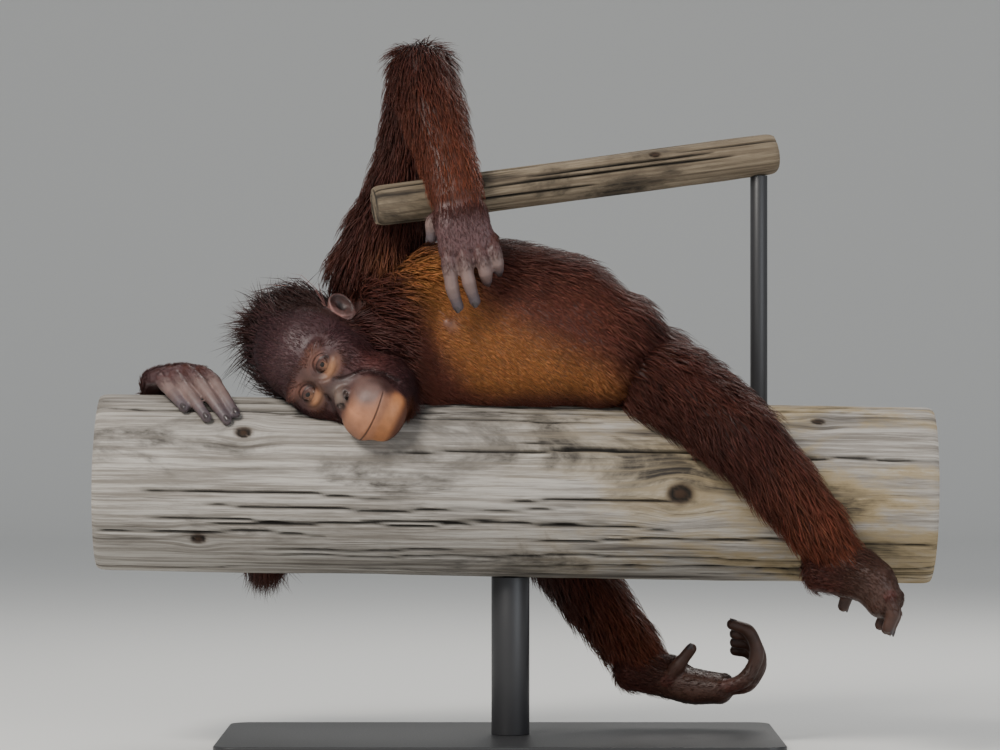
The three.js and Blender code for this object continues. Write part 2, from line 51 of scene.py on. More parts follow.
# Skin: one closed hide over the whole animal, as a taxidermist stretches it over a form. Each
# body part is a sphere laid along its bone, then all are fused, smoothed and worked on at the face.
FORMS = {
    "torso": dict(
        path=[(-130, 8, 478), (-78, 6, 485), (-10, 2, 486), (60, -2, 478), (116, 2, 458), (160, 10, 440)],
        wide=[72, 90, 93, 88, 70, 50], deep=[60, 73, 78, 82, 74, 60], coat=[16, 15, 13, 12, 15, 18],
        side=(0, 0, 1), square=2.5, dome=0.75, flow=1, hang=0.35),
    "neck": dict(
        path=[(-196, -26, 452), (-166, -14, 462), (-132, 2, 474)],
        wide=[52, 54, 62], deep=[46, 48, 52], coat=[20, 20, 18],
        side=(0, 0, 1), flow=1, hang=0.5),
    "arm_left_upper": dict(
        path=[(-136, 20, 552), (-126, 22, 600), (-113, 24, 650), (-101, 22, 720), (-93, 18, 788)],
        wide=[52, 42, 34, 31, 31], deep=[44, 36, 31, 29, 28], coat=[16, 17, 15, 12, 10],
        side=(1, 0, 0), flow=-1, hang=0.3),
    "arm_left_fore": dict(
        path=[(-92, 16, 786), (-78, -24, 738), (-62, -63, 683), (-49, -96, 632)],
        wide=[32, 33, 31, 30], deep=[28, 26, 21, 17], coat=[12, 10, 7, 5],
        side=(1, 0, 0), flow=1, hang=0.3),
    "arm_right_upper": dict(
        path=[(-124, 52, 440), (-142, 94, 388), (-209, 128, 315), (-275, 152, 243)],
        wide=[44, 40, 32, 31], deep=[40, 36, 31, 30], coat=[14, 16, 14, 12],
        side=(0, 0.5, 0.86), flow=1, hang=0.5),
    "arm_right_fore": dict(
        path=[(-276, 152, 242), (-312, 138, 296), (-352, 108, 353), (-393, 68, 403)],
        wide=[31, 32, 29, 25], deep=[29, 27, 22, 17], coat=[14, 12, 9, 6],
        side=(-0.6, 0.7, -0.2), flow=-1, hang=0.9),
    "thigh_left": dict(
        path=[(146, 4, 434), (196, -46, 414), (238, -92, 388), (267, -124, 363)],
        wide=[50, 46, 42, 40], deep=[46, 44, 40, 37], coat=[16, 15, 13, 11],
        side=(0.5, -0.3, 0.8), flow=1, hang=0.2),
    "shin_left": dict(
        path=[(268, -125, 364), (302, -124, 325), (340, -121, 280), (378, -118, 234)],
        wide=[39, 34, 28, 23], deep=[36, 32, 26, 21], coat=[12, 14, 14, 9],
        side=(0.7, 0, 0.7), flow=1, hang=0.5),
    "thigh_right": dict(
        path=[(132, 66, 420), (112, 118, 374), (88, 140, 304), (66, 150, 232)],
        wide=[50, 44, 40, 38], deep=[46, 42, 38, 36], coat=[14, 15, 13, 12],
        side=(1, 0, 0.2), flow=1, hang=0.3),
    "shin_right": dict(
        path=[(66, 150, 232), (98, 140, 186), (138, 122, 134), (173, 106, 92)],
        wide=[37, 33, 28, 22], deep=[36, 31, 26, 21], coat=[13, 14, 15, 10],
        side=(0.75, 0, 0.65), flow=1, hang=0.4),
    "hand_left": dict(
        path=[(-48, -97, 628), (-43, -105, 602), (-36, -108, 574)],
        wide=[27, 31, 33], deep=[14, 13, 11], coat=[4, 2, 1],
        side=(0.98, 0.05, 0.12), square=2.6, flow=1, hang=0),
    "hand_right": dict(
        path=[(-394, 66, 404), (-384, 30, 427), (-366, -6, 431)],
        wide=[24, 29, 32], deep=[14, 13, 11], coat=[6, 4, 1],
        side=(0.98, 0.1, 0.15), square=2.6, flow=1, hang=0),
    "foot_left": dict(
        path=[(357, -108, 212), (385, -116, 212), (414, -122, 200), (431, -123, 178)],
        wide=[25, 30, 27, 22], deep=[21, 24, 28, 27], coat=[5, 4, 2, 1],
        side=(0.6, 0, 0.8), square=2.4, flow=1, hang=0),
    "foot_right": dict(
        path=[(153, 108, 82), (184, 100, 80), (222, 92, 67), (258, 84, 64)],
        wide=[22, 25, 21, 18], deep=[22, 24, 27, 28], coat=[5, 4, 2, 1],
        side=(0, 0, 1), square=2.4, flow=1, hang=0),
}
DIGITS = {
    "hand_left": (8.6, [
        [(-60, -107, 580), (-57, -112, 552), (-53, -111, 526), (-47, -104, 508)],
        [(-43, -109, 580), (-39, -114, 556), (-34, -113, 532), (-28, -105, 514)],
        [(-27, -108, 580), (-20, -113, 560), (-16, -108, 544), (-15, -96, 538)],
        [(-11, -104, 584), (-6, -109, 567), (-3, -106, 556), (-2, -96, 550)],
        [(-66, -98, 612), (-76, -96, 602), (-77, -93, 586)]]),
    "hand_right": (8.0, [
        [(-343, -2, 434), (-328, -32, 425), (-313, -54, 405), (-300, -70, 388)],
        [(-361, -4, 436), (-345, -38, 424), (-327, -60, 403), (-309, -76, 380)],
        [(-378, -4, 434), (-365, -36, 421), (-348, -58, 403), (-332, -74, 383)],
        [(-391, 0, 429), (-383, -26, 420), (-371, -46, 408), (-358, -62, 394)]]),
    "foot_left": (8.8, [
        [(432, -142, 184), (438, -142, 166), (433, -140, 149)],
        [(433, -129, 184), (441, -130, 164), (436, -128, 146)],
        [(432, -116, 184), (440, -116, 163), (434, -115, 146)],
        [(428, -103, 184), (434, -103, 164), (428, -102, 150)],
        [(386, -96, 204), (392, -88, 186), (388, -84, 170)]]),
    "foot_right": (8.8, [
        [(256, 104, 64), (286, 104, 66), (303, 102, 86), (294, 100, 104), (276, 98, 108)],
        [(258, 91, 64), (289, 90, 68), (304, 88, 92), (294, 86, 114), (275, 84, 118)],
        [(258, 78, 64), (288, 76, 70), (303, 74, 98), (293, 72, 124), (274, 70, 129)],
        [(256, 66, 66), (284, 63, 76), (299, 61, 106), (289, 59, 133), (270, 57, 141)],
        [(196, 78, 74), (208, 72, 92), (223, 67, 112)]]),
}
EYES = np.array((-208.0, -95.0, 426.5))          # the point between the eyes
LEFT = np.array((0.417, -0.357, 0.836))          # towards the animal's left ear
CROWN = np.array((-0.895, 0.0, 0.446))
FRONT = np.array((-0.159, -0.934, -0.3195))
EYE_RADIUS, EYE_BACK, EYE_APART = 10.5, 8.0, 40.0


def smooth(x, low, high):
    s = np.clip((x - low) / (high - low), 0, 1)
    return s * s * (3 - 2 * s)


def unit(v):
    return v / np.maximum(np.linalg.norm(v, axis=-1, keepdims=True), 1e-9)


def spline(points, t):
    """Points of a smooth path at shares t of its stations, spaced by the square root of their distance."""
    p = np.array(points, float)
    p = np.vstack([2 * p[0] - p[1], p, 2 * p[-1] - p[-2]])
    x = np.clip(t, 0, 1) * (len(points) - 1)
    i = np.minimum(x.astype(int), len(points) - 2)
    s = (x - i)[:, None]
    a, b, c, d = p[i], p[i + 1], p[i + 2], p[i + 3]
    g0, g1, g2 = [np.linalg.norm(v, axis=1, keepdims=True) ** 0.5 for v in (b - a, c - b, d - c)]
    m1 = g1 * ((b - a) / g0 - (c - a) / (g0 + g1) + (c - b) / g1)
    m2 = g1 * ((c - b) / g1 - (d - b) / (g1 + g2) + (d - c) / g2)
    return b + s * (m1 + s * (-3 * b + 3 * c - 2 * m1 - m2 + s * (2 * b - 2 * c + m1 + m2)))


def along(values, t):
    v = np.array(values, float)
    x = np.clip(t, 0, 1) * (len(v) - 1)
    i = np.minimum(x.astype(int), len(v) - 2)
    s = x - i
    return v[i] + (v[i + 1] - v[i]) * s * s * (3 - 2 * s)


def sections(form, t):
    """Centre, tangent, the two cross axes and the two half sizes of a form at shares t."""
    t = np.clip(t, 0, 1)
    centre = spline(form["path"], t)
    tangent = unit(spline(form["path"], t + 0.01) - spline(form["path"], t - 0.01) + 1e-9)
    side = np.array(form["side"], float)
    side = unit(side - tangent * (tangent @ side)[:, None])
    through = unit(np.cross(side, tangent))
    return centre, tangent, side, through, along(form["wide"], t), along(form["deep"], t)


def face_outwards():
    """Turns the active object's faces outwards."""
    bpy.ops.object.mode_set(mode="EDIT")
    bpy.ops.mesh.select_all(action="SELECT")
    bpy.ops.mesh.normals_make_consistent(inside=False)
    bpy.ops.object.mode_set(mode="OBJECT")


def laid(name, place, around, rows):
    """A sphere primitive whose rows are laid where place(row share, turn) says, in millimetres."""
    bpy.ops.object.select_all(action="DESELECT")
    bpy.ops.mesh.primitive_uv_sphere_add(segments=around, ring_count=rows, radius=1)
    piece = bpy.context.object
    piece.name = name
    at = np.empty(len(piece.data.vertices) * 3)
    piece.data.vertices.foreach_get("co", at)
    at = at.reshape(-1, 3)
    share = np.arccos(np.clip(at[:, 2], -1, 1)) / math.pi
    turn = np.arctan2(at[:, 1], at[:, 0])
    piece.data.vertices.foreach_set("co", (place(share, turn) / 1000).astype(np.float32).ravel())
    piece.data.update()
    face_outwards()
    return piece


def form_place(form, dome_share=0.16):
    """Rows along a form's path, closed by a dome at each end."""
    def place(share, turn):
        t = (share - dome_share) / (1 - 2 * dome_share)
        beyond = np.where(share < dome_share, share / dome_share - 1, 0)
        beyond = np.where(share > 1 - dome_share, 1 - (1 - share) / dome_share, beyond)
        lean = np.abs(beyond) * math.pi / 2
        centre, tangent, side, through, wide, deep = sections(form, t)
        power = 2 / form.get("square", 2)
        c = np.sign(np.cos(turn)) * np.abs(np.cos(turn)) ** power * np.cos(lean) * wide
        d = np.sign(np.sin(turn)) * np.abs(np.sin(turn)) ** power * np.cos(lean) * deep
        reach = np.minimum(wide, deep) * form.get("dome", 0.85) * np.sin(lean) * np.sign(beyond)
        return centre + c[:, None] * side + d[:, None] * through + reach[:, None] * tangent
    return place


def digit_form(path, radius):
    """A finger or toe, a little thicker at its joints and tapering to the tip."""
    t = np.linspace(0, 1, 9)
    taper = radius * (1.02 - 0.3 * t ** 2)
    joints = 0.05 * np.cos(t * math.pi * 2 * (len(path) - 1))
    size = list(taper * (1 + joints))
    return dict(path=path, wide=size, deep=size, side=(0.95, 0.25, 0.15), dome=1)


def to_head(p):
    """Points in the head's own axes, in millimetres from between the eyes: left, crown, front."""
    q = p - EYES
    return np.stack([q @ LEFT, q @ CROWN, q @ FRONT], axis=-1)


def from_head(q):
    q = np.asarray(q, float)
    return EYES + q[..., :1] * LEFT + q[..., 1:2] * CROWN + q[..., 2:3] * FRONT


def ellipsoid(q, centre, half):
    r = (q - np.array(centre, float)) / np.array(half, float)
    k0 = np.linalg.norm(r, axis=-1)
    k1 = np.linalg.norm(r / np.array(half, float), axis=-1)
    return k0 * (k0 - 1) / np.maximum(k1, 1e-9)


def blend(a, b, k):
    h = np.maximum(k - np.abs(a - b), 0) / k
    return np.minimum(a, b) - h * h * k / 4


def carve(a, b, k):
    return -blend(-a, b, k)


def mouth_height(x):
    """Height of the line between the lips at a distance x to the left of the middle."""
    return -80 + x * x / 260


FOLD = [(11, -19), (16, -28), (23, -35), (31, -41), (35, -51), (38, -67), (36, -84)]


def fold_gap(x, y):
    """Distance to the fold that parts the cheek from the nose and the muzzle, on either side."""
    gap = np.full(x.shape, 1e9)
    for a, b in zip(FOLD, FOLD[1:]):
        ax, ay, bx, by = *a, *b
        run = (bx - ax) ** 2 + (by - ay) ** 2
        t = np.clip(((np.abs(x) - ax) * (bx - ax) + (y - ay) * (by - ay)) / run, 0, 1)
        gap = np.minimum(gap, np.hypot(np.abs(x) - ax - t * (bx - ax), y - ay - t * (by - ay)))
    return gap


def nostril_axes(side, y):
    """Distances along and across a nostril's slant, from its middle."""
    return 0.68 * (side - 6.8) + 0.73 * (y + 40), 0.73 * (side - 6.8) - 0.68 * (y + 40)


def lids(d, u, v, w, s):
    """Works an eye's creases and its opening into a field. u, v, w run from the eyeball's middle."""
    ring = np.sqrt(u * u + (v * 1.1) ** 2)
    upper, lower = np.clip(v / 4, 0, 1), np.clip(-v / 4, 0, 1)
    front = np.clip(w / 4, 0, 1)
    creases = ((1.0, 11.4, 0.9, upper), (0.25, 15.0, 1.3, upper),
               (0.25, 11.5, 1.0, lower), (0.7, 18.8, 2.2, lower))
    for deep, radius, wide, half in creases:
        d = d + deep * np.exp(-((ring - radius) / wide) ** 2) * half * front
    tilt = v + 2.4 - 0.12 * u * s
    arch = np.where(tilt > 0, 6.7, 2.9) * np.clip(1 - (u / 9.8) ** 2, 0, 1) ** 0.7
    opening = np.maximum(np.abs(tilt) - arch, np.abs(u) - 9.8)
    return carve(d, np.maximum(opening, 1.5 - w), 0.8)


def nostril(d, side, y, z):
    slant, across = nostril_axes(side, y)
    hole = np.sqrt((slant / 5.2) ** 2 + (across / 2.8) ** 2 + ((z - 19) / 9) ** 2)
    return carve(d, (hole - 1) * 2.8, 1.0)


def folds(d, x, y, z, muzzle):
    """Works the cheek's fold, the line between the lips and the groove above it into a field."""
    d = d + 1.6 * np.exp(-(fold_gap(x, y) / 2.2) ** 2) * np.clip((z + 30) / 10, 0, 1)
    line = np.abs(y - mouth_height(x)) - 0.35
    for limit in (np.abs(x) - 32.5, 4 - z, -(muzzle + 5.5)):
        line = np.maximum(line, limit)
    d = carve(d, line, 1.6)
    groove = np.exp(-(x / 2.6) ** 2) * np.exp(-((y + 58) / 10) ** 2) * np.clip(z / 20, 0, 1)
    return d + 0.5 * groove


def head_field(q, fine=True):
    """Signed distance to the head's skin, in its own axes."""
    x, y, z = q[..., 0], q[..., 1], q[..., 2]
    d = ellipsoid(q, (0, 14, -62), (57, 67, 65))
    d = blend(d, ellipsoid(q, (0, -14, -26), (54, 42, 28)), 16)
    d = blend(d, ellipsoid(q, (0, -64, -29), (47, 46, 37)), 16)
    muzzle = ellipsoid(q, (0, -69, 8), (36, 30, 32))
    d = blend(d, muzzle, 12)
    d = blend(d, ellipsoid(q, (0, -95, 4), (29, 16, 24)), 12)
    d = blend(d, ellipsoid(q, (0, -15, 0), (6, 20, 5)), 10)
    d = blend(d, ellipsoid(q, (0, -36, 12), (10, 8, 8)), 8)
    for s in (-1, 1):
        eye = (s * EYE_APART / 2, 0, -EYE_BACK)
        d = blend(d, ellipsoid(q, (s * 22, 16, -6), (18, 5.5, 7)), 8)
        d = carve(d, ellipsoid(q, (s * 20, 0, 8), (14, 11, 12)), 8)
        d = blend(d, ellipsoid(q, eye, (EYE_RADIUS + 1.5,) * 3), 3)
        d = blend(d, ellipsoid(q, (s * 21, -11, -5), (10.5, 5.2, 6)), 5)
        d = blend(d, ellipsoid(q, (s * 8, -38.5, 14.5), (5, 5.5, 5)), 4)
    lips = np.exp(-((y - mouth_height(x)) / 8) ** 2) * np.clip(z / 18, 0, 1)
    d = d - 2.2 * lips
    if not fine:
        return d
    for s in (-1, 1):
        d = lids(d, x - s * EYE_APART / 2, y, z + EYE_BACK, s)
        d = nostril(d, s * x, y, z)
    return folds(d, x, y, z, muzzle)


def head_place(share, turn):
    """The head's surface along rays from its middle, with the rows closer over the face."""
    lean = math.pi * share ** 1.25
    way = np.stack([np.cos(turn) * np.sin(lean), np.sin(turn) * np.sin(lean), np.cos(lean)], axis=-1)
    middle = np.array((0.0, -16.0, -42.0))
    near, far = np.full(len(share), 10.0), np.full(len(share), 190.0)
    for _ in range(30):
        half = (near + far) / 2
        inside = head_field(middle + way * half[:, None], fine=False) < 0
        near, far = np.where(inside, half, near), np.where(inside, far, half)
    return from_head(middle + way * near[:, None])


EARS = ((1, np.array((66.0, 12, -74))), (-1, np.array((-64.0, 20, -92))))


def ear_axes(s):
    """Directions out of an ear's cup, up it and across it."""
    out = unit(0.82 * s * LEFT + 0.57 * FRONT)
    tall = CROWN - 0.25 * FRONT
    tall = unit(tall - out * (tall @ out))
    return out, tall, unit(np.cross(tall, out))


def ear_place(s, spot):
    """A round cup with a rolled rim, a ridge inside it and a lobe, turned a little forward."""
    out, tall, across = ear_axes(s)
    middle = from_head(spot)

    def place(share, turn):
        reach = np.sin(math.pi * share) ** 0.7
        high = 17.5 * reach * np.sin(turn)
        wide = 12.5 * reach * np.cos(turn) * (1 + 0.15 * np.sin(turn))
        rim = 3.4 * np.exp(-((reach - 0.86) / 0.12) ** 2)
        ridge = 5.5 * np.exp(-((reach - 0.50) / 0.13) ** 2) * smooth(-np.cos(turn - 0.6) * s, -0.5, 0.2)
        cup = rim + ridge - 8 * (1 - reach ** 2)
        back = -4 - 14 * (1 - reach ** 2)
        depth = np.where(share < 0.5, cup, back)
        return middle + high[:, None] * tall + wide[:, None] * across + depth[:, None] * out
    return place


def apply_modifier(piece, kind, **settings):
    bpy.ops.object.select_all(action="DESELECT")
    piece.select_set(True)
    bpy.context.view_layer.objects.active = piece
    modifier = piece.modifiers.new(kind.lower(), kind)
    for key, value in settings.items():
        setattr(modifier, key, value)
    bpy.ops.object.modifier_apply(modifier=modifier.name)


def points_of(piece):
    at = np.empty(len(piece.data.vertices) * 3)
    piece.data.vertices.foreach_get("co", at)
    return at.reshape(-1, 3) * 1000


def set_points(piece, at):
    piece.data.vertices.foreach_set("co", (at / 1000).astype(np.float32).ravel())
    piece.data.update()


def joined(pieces, name):
    bpy.ops.object.select_all(action="DESELECT")
    for piece in pieces:
        piece.select_set(True)
    bpy.context.view_layer.objects.active = pieces[0]
    bpy.ops.object.join()
    whole = bpy.context.object
    whole.name = whole.data.name = name
    return whole


parts = [laid(name, form_place(form), 64, 48) for name, form in FORMS.items()]
for radius, paths in DIGITS.values():
    parts += [laid("digit", form_place(digit_form(path, radius), 0.2), 28, 40) for path in paths]
parts.append(laid("head", head_place, 160, 120))
parts += [laid("ear", ear_place(s, spot), 64, 48) for s, spot in EARS]
NIPPLE = np.array((-60.0, -69, 490))
parts.append(laid("nipple", lambda share, turn: NIPPLE + 4.2 * np.stack(
    [np.sin(math.pi * share) * np.cos(turn), np.cos(math.pi * share),
     np.sin(math.pi * share) * np.sin(turn)], axis=-1), 16, 12))
skin = joined(parts, "skin")
apply_modifier(skin, "REMESH", mode="VOXEL", voxel_size=0.0018, adaptivity=0)
apply_modifier(skin, "SMOOTH", factor=0.5, iterations=3)


def seat_on_head(at, weight, rounds):
    """Moves points onto the head's skin by their weight."""
    q = to_head(at)
    for _ in range(rounds):
        d = head_field(q)
        g = np.stack([head_field(q + a) - d for a in np.eye(3) * 0.2], axis=-1) / 0.2
        step = np.clip(d, -1.5, 1.5)[:, None] * g / np.maximum((g * g).sum(-1, keepdims=True), 0.25)
        q = q - step * weight[:, None]
    return from_head(q)


def on_skull(at, reach=6):
    """1 for points near the head's own skin."""
    q = to_head(at)
    near = np.linalg.norm(q + (0, 20, 40), axis=1) < 130
    found = np.zeros(len(at))
    found[near] = np.clip((reach + 3 - np.abs(head_field(q[near], False))) / 3, 0, 1)
    return found


def face_weight(at):
    """1 on the face's own skin, falling to 0 towards the ears and the nape."""
    q = to_head(at)
    ahead = np.clip((q[:, 2] + 68) / 22, 0, 1)
    below = np.clip((q[:, 1] + 122) / 8, 0, 1)
    return on_skull(at) * ahead * below


def refine(piece, chosen):
    """Splits the faces whose centres `chosen` picks, in millimetres."""
    mesh = bmesh.new()
    mesh.from_mesh(piece.data)
    centres = np.array([f.calc_center_median() for f in mesh.faces]) * 1000
    pick = chosen(centres)
    edges = {e for f, p in zip(mesh.faces, pick) if p for e in f.edges}
    bmesh.ops.subdivide_edges(mesh, edges=list(edges), cuts=1, use_grid_fill=True)
    mesh.to_mesh(piece.data)
    mesh.free()


def near_face(centres):
    q = to_head(centres)
    return (face_weight(centres) > 0.5) & (q[:, 2] > -38)


def near_detail(centres):
    q = to_head(centres)
    eyes = np.hypot(np.abs(q[:, 0]) - 20, q[:, 1]) < 17
    mouth = (np.abs(q[:, 1] - mouth_height(q[:, 0])) < 4) & (np.abs(q[:, 0]) < 37)
    nose = (np.abs(q[:, 0]) < 14) & (np.abs(q[:, 1] + 38) < 9)
    return (face_weight(centres) > 0.5) & (q[:, 2] > -12) & (eyes | mouth | nose)


for chosen in (near_face, near_detail, near_detail):
    refine(skin, chosen)
    at = points_of(skin)
    weight = face_weight(at)
    on = weight > 0
    at[on] = seat_on_head(at[on], weight[on], 4)
    set_points(skin, at)

LOG_FROM, LOG_TO, LOG_RADIUS = np.array((-460.0, 0, 307.5)), np.array((495.0, 0, 292.5)), 102.0
BEAM_FROM, BEAM_TO, BEAM_RADIUS = np.array((-142.0, -64, 622)), np.array((318.0, 44, 688)), 24.5
HIDE_GAP = 0.4                                   # left between the hide and the two timbers


def push_off(at, start, end, radius):
    """Moves points that are inside a round bar out to its surface."""
    axis = unit(end - start)
    shift = (at - start) @ axis
    away = at - start - shift[:, None] * axis
    distance = np.linalg.norm(away, axis=1)
    inside = (distance < radius) & (shift > -2) & (shift < np.linalg.norm(end - start) + 2)
    moved = at + unit(away) * (radius - distance)[:, None]
    return np.where(inside[:, None], moved, at)


at = push_off(points_of(skin), LOG_FROM, LOG_TO, LOG_RADIUS + HIDE_GAP)
set_points(skin, push_off(at, BEAM_FROM, BEAM_TO, BEAM_RADIUS + HIDE_GAP))

LIE = dict(FORMS)
for name, (radius, paths) in DIGITS.items():
    for k, path in enumerate(paths):
        LIE["%s_%d" % (name, k)] = dict(digit_form(path, radius), coat=[1, 1], flow=1, hang=0)
LIE_NAMES = list(LIE)
FORM_OF = np.array([list(FORMS).index(n if n in FORMS else n[:-2]) for n in LIE_NAMES])


def nearest_form(at):
    """For each point: its form's number, the share along it, the turn around it, the way the hair
    runs, the coat's depth, and how far along a finger or toe it is, or 0."""
    at = at.astype(np.float32)
    squares = (at * at).sum(1)
    best = np.full(len(at), 1e9, np.float32)
    total, depth = np.zeros(len(at)), np.zeros(len(at))
    flow = np.zeros((len(at), 3))
    which = np.zeros(len(at), int)
    share, turn = np.zeros(len(at)), np.zeros(len(at))
    found = []
    for k, name in enumerate(LIE_NAMES):
        form = LIE[name]
        t = np.linspace(0, 1, 33 if name in FORMS else 13)
        centre, tangent, side, through, wide, deep = [v.astype(np.float32) for v in sections(form, t)]
        gap = squares[:, None] - 2 * at @ centre.T + (centre * centre).sum(1)[None]
        i = gap.argmin(axis=1)
        r = at - centre[i]
        c, d, e = [(r * v[i]).sum(1) for v in (side, through, tangent)]
        size = np.minimum(wide[i], deep[i])
        away = (np.sqrt((c / wide[i]) ** 2 + (d / deep[i]) ** 2 + (e / size) ** 2) - 1) * size
        run = tangent * form["flow"] + np.array((0, 0, -form["hang"]), np.float32)
        found.append((away, run[i], along(form["coat"], t)[i]))
        closer = away < best
        best = np.where(closer, away, best)
        which[closer], share[closer] = k, t[i][closer]
        turn[closer] = np.arctan2(d, c)[closer]
    for away, run, coat in found:
        weight = np.exp(-(away - best) / 7)
        total += weight
        flow += run * weight[:, None]
        depth += coat * weight
    digit = np.where(which >= len(FORMS), share, 0)
    return FORM_OF[which], share, turn, unit(flow), depth / total, digit


def mix(a, b, w):
    return a + (np.array(b) - a) * w[:, None]


def bare(at):
    """How short the fur is on the head: 1 over the face, forehead and cheeks, 0 at the nape."""
    q = to_head(at)
    edge = -50 - 20 * smooth(q[:, 0], 25, 50) * smooth(q[:, 1], -14, 10)
    return smooth(q[:, 2], edge - 6, edge + 8) * on_skull(at)


def close_haired(at, which):
    """1 over the chest, belly and flank, where the hair is short and lies flat."""
    body = smooth(-at[:, 1], 5, 55) * smooth(at[:, 0], -125, -75) * smooth(570 - at[:, 2], 0, 70)
    return body * smooth(-at[:, 0], -160, -95) * ((which == 0) | (which == 2))


def golden(at, which):
    """How golden the hair is: 1 in a band from the top of the chest down over the belly, fading out under
    the belly, where it rests on the log, as painted shade.
    """
    top = np.interp(at[:, 0], [-165, -90, -23, 60, 136], [610, 600, 512, 470, 436])
    # The band's lower edge, 398 to 424 mm up, leaves the belly's underside dark brown by the log: painted
    # shade.
    band = smooth(top + 28 - at[:, 2], 0, 62) * smooth(at[:, 2], 398, 424)
    throat = np.interp(at[:, 2], [404, 494, 598], [-41, -104, -166])
    front = smooth(-at[:, 1], 5, 50) * smooth(at[:, 0] - throat, -12, 36) * smooth(-at[:, 0], -160, -100)
    return band * front * ((which == 0) | (which == 2))


def blot(x, y, at, size):
    return np.exp(-(((x - at[0]) / size[0]) ** 2 + ((y - at[1]) / size[1]) ** 2))


HANDS = [list(FORMS).index(n) for n in ("hand_left", "hand_right")]
FEET = [list(FORMS).index(n) for n in ("foot_left", "foot_right")]
REDDER = [list(FORMS).index(n) for n in ("arm_left_fore", "arm_right_fore", "shin_left", "shin_right")]


def body_markings(at, which, share, digit):
    """Dark red-brown, redder on forearms and shins, golden on the front, grey on the fingers; painted shade
    in the knuckle creases.
    """
    colour = np.tile((0.066, 0.020, 0.014), (len(at), 1))
    red = np.isin(which, REDDER) * smooth(share, 0.0, 0.9)
    colour = mix(colour, (0.140, 0.038, 0.019), red)
    colour = mix(colour, (0.130, 0.040, 0.026), close_haired(at, which))
    colour = mix(colour, (0.33, 0.130, 0.043), golden(at, which))
    hand, foot = np.isin(which, HANDS), np.isin(which, FEET)
    colour = mix(colour, (0.088, 0.042, 0.042), hand * smooth(share + digit, 0.0, 0.6))
    colour = mix(colour, (0.170, 0.112, 0.100), hand * smooth(digit, 0.15, 0.5))
    colour = mix(colour, (0.085, 0.064, 0.070), hand * smooth(digit, 0.6, 0.95))
    colour = mix(colour, (0.055, 0.024, 0.016), foot * smooth(share + digit, 0.0, 0.6))
    # Painted shade in the knuckle creases: fine rings across the fingers and toes darken them by up to 55%.
    knuckle = np.exp(-((digit - 0.34) / 0.05) ** 2) + np.exp(-((digit - 0.68) / 0.04) ** 2)
    knuckle_crease_shade = knuckle * (0.5 + 0.5 * np.cos(digit * 2 * math.pi * 22)) * (digit > 0)
    return colour * (1 - 0.55 * np.clip(knuckle_crease_shade, 0, 1))[:, None]


# The face's patches: the first, on the forehead, is a painted sheen; the others are the face's own colours
# on the cheeks, between the eyes and on the upper and lower lids.
FACE_PATCHES_AND_SHEEN = (                                      # colour, strength, place and size on either side
    ((0.085, 0.044, 0.046), 0.75, (12, 42), (24, 17)),
    ((0.075, 0.022, 0.019), 0.9, (42, -45), (20, 30)),
    ((0.072, 0.034, 0.024), 0.8, (0, 4), (12, 18)),
    ((0.24, 0.105, 0.072), 0.75, (22, 12), (13, 7)),
    ((0.40, 0.185, 0.085), 0.85, (20.5, -10.5), (11.5, 6.5)),
)


def eye_markings(colour, face, side, y):
    """The dark rim of the lids, and painted shade in the crease over them."""
    u, v = side - 20, y + 1.0
    lash = np.sqrt((u / 10.6) ** 2 + (v / np.where(v > 0, 6.8, 5.4)) ** 2)
    rim = np.exp(-((lash - 1) / 0.12) ** 2) * np.where(v > -2, 1, 0.5)
    colour = mix(colour, (0.022, 0.009, 0.007), face * rim)
    # Painted shade in the crease over each upper lid.
    crease = np.hypot(u, y * 1.1)
    fold = 0.7 * face * np.exp(-((crease - 11.6) / 0.8) ** 2) * smooth(y, 2, 5)
    return mix(colour, (0.05, 0.02, 0.015), fold)


def muzzle_markings(colour, face, x, y, z):
    """Orange lips and chin with a grey patch beside the nose, and painted shade in the fold beside the
    muzzle, the line between the lips and the nostrils.
    """
    side = np.abs(x)
    muzzle = face * smooth(z, -6, 16) * smooth(-y, 40, 56)
    muzzle = muzzle * smooth(fold_gap(x, y), 0, 10) * smooth(37 - side, 0, 6)
    colour = mix(colour, (0.43, 0.188, 0.098), muzzle * 0.92)
    grey = face * np.clip(2.0 * blot(side, y, (31, -56), (17, 19)), 0, 1)
    grey = grey * np.where(x > 0, 1, 0.35) * smooth(z, -4, 8)
    colour = mix(colour, (0.125, 0.072, 0.062), grey * 0.95)
    colour = mix(colour, (0.40, 0.155, 0.05), 0.6 * face * smooth(-y, 84, 92) * smooth(z, -2, 14))
    colour = mix(colour, (0.10, 0.033, 0.018), face * smooth(-y, 98, 108))
    # Painted shade in the fold between the cheek and the muzzle.
    colour = mix(colour, (0.030, 0.012, 0.011), 0.9 * face * np.exp(-(fold_gap(x, y) / 3.2) ** 2))
    # Painted shade in the line between the lips.
    line = np.exp(-((y - mouth_height(x)) / 0.9) ** 2) * smooth(33.5 - side, 0, 3) * smooth(z, 4, 10)
    colour = mix(colour, (0.030, 0.012, 0.008), line * face)
    # Painted shade in the nostrils.
    slant, across = nostril_axes(side, y)
    hole = np.exp(-((slant / 5.6) ** 2 + (across / 3.0) ** 2)) * smooth(z, 2, 8)
    return mix(colour, (0.010, 0.005, 0.004), np.clip(hole * 1.6, 0, 1) * face)


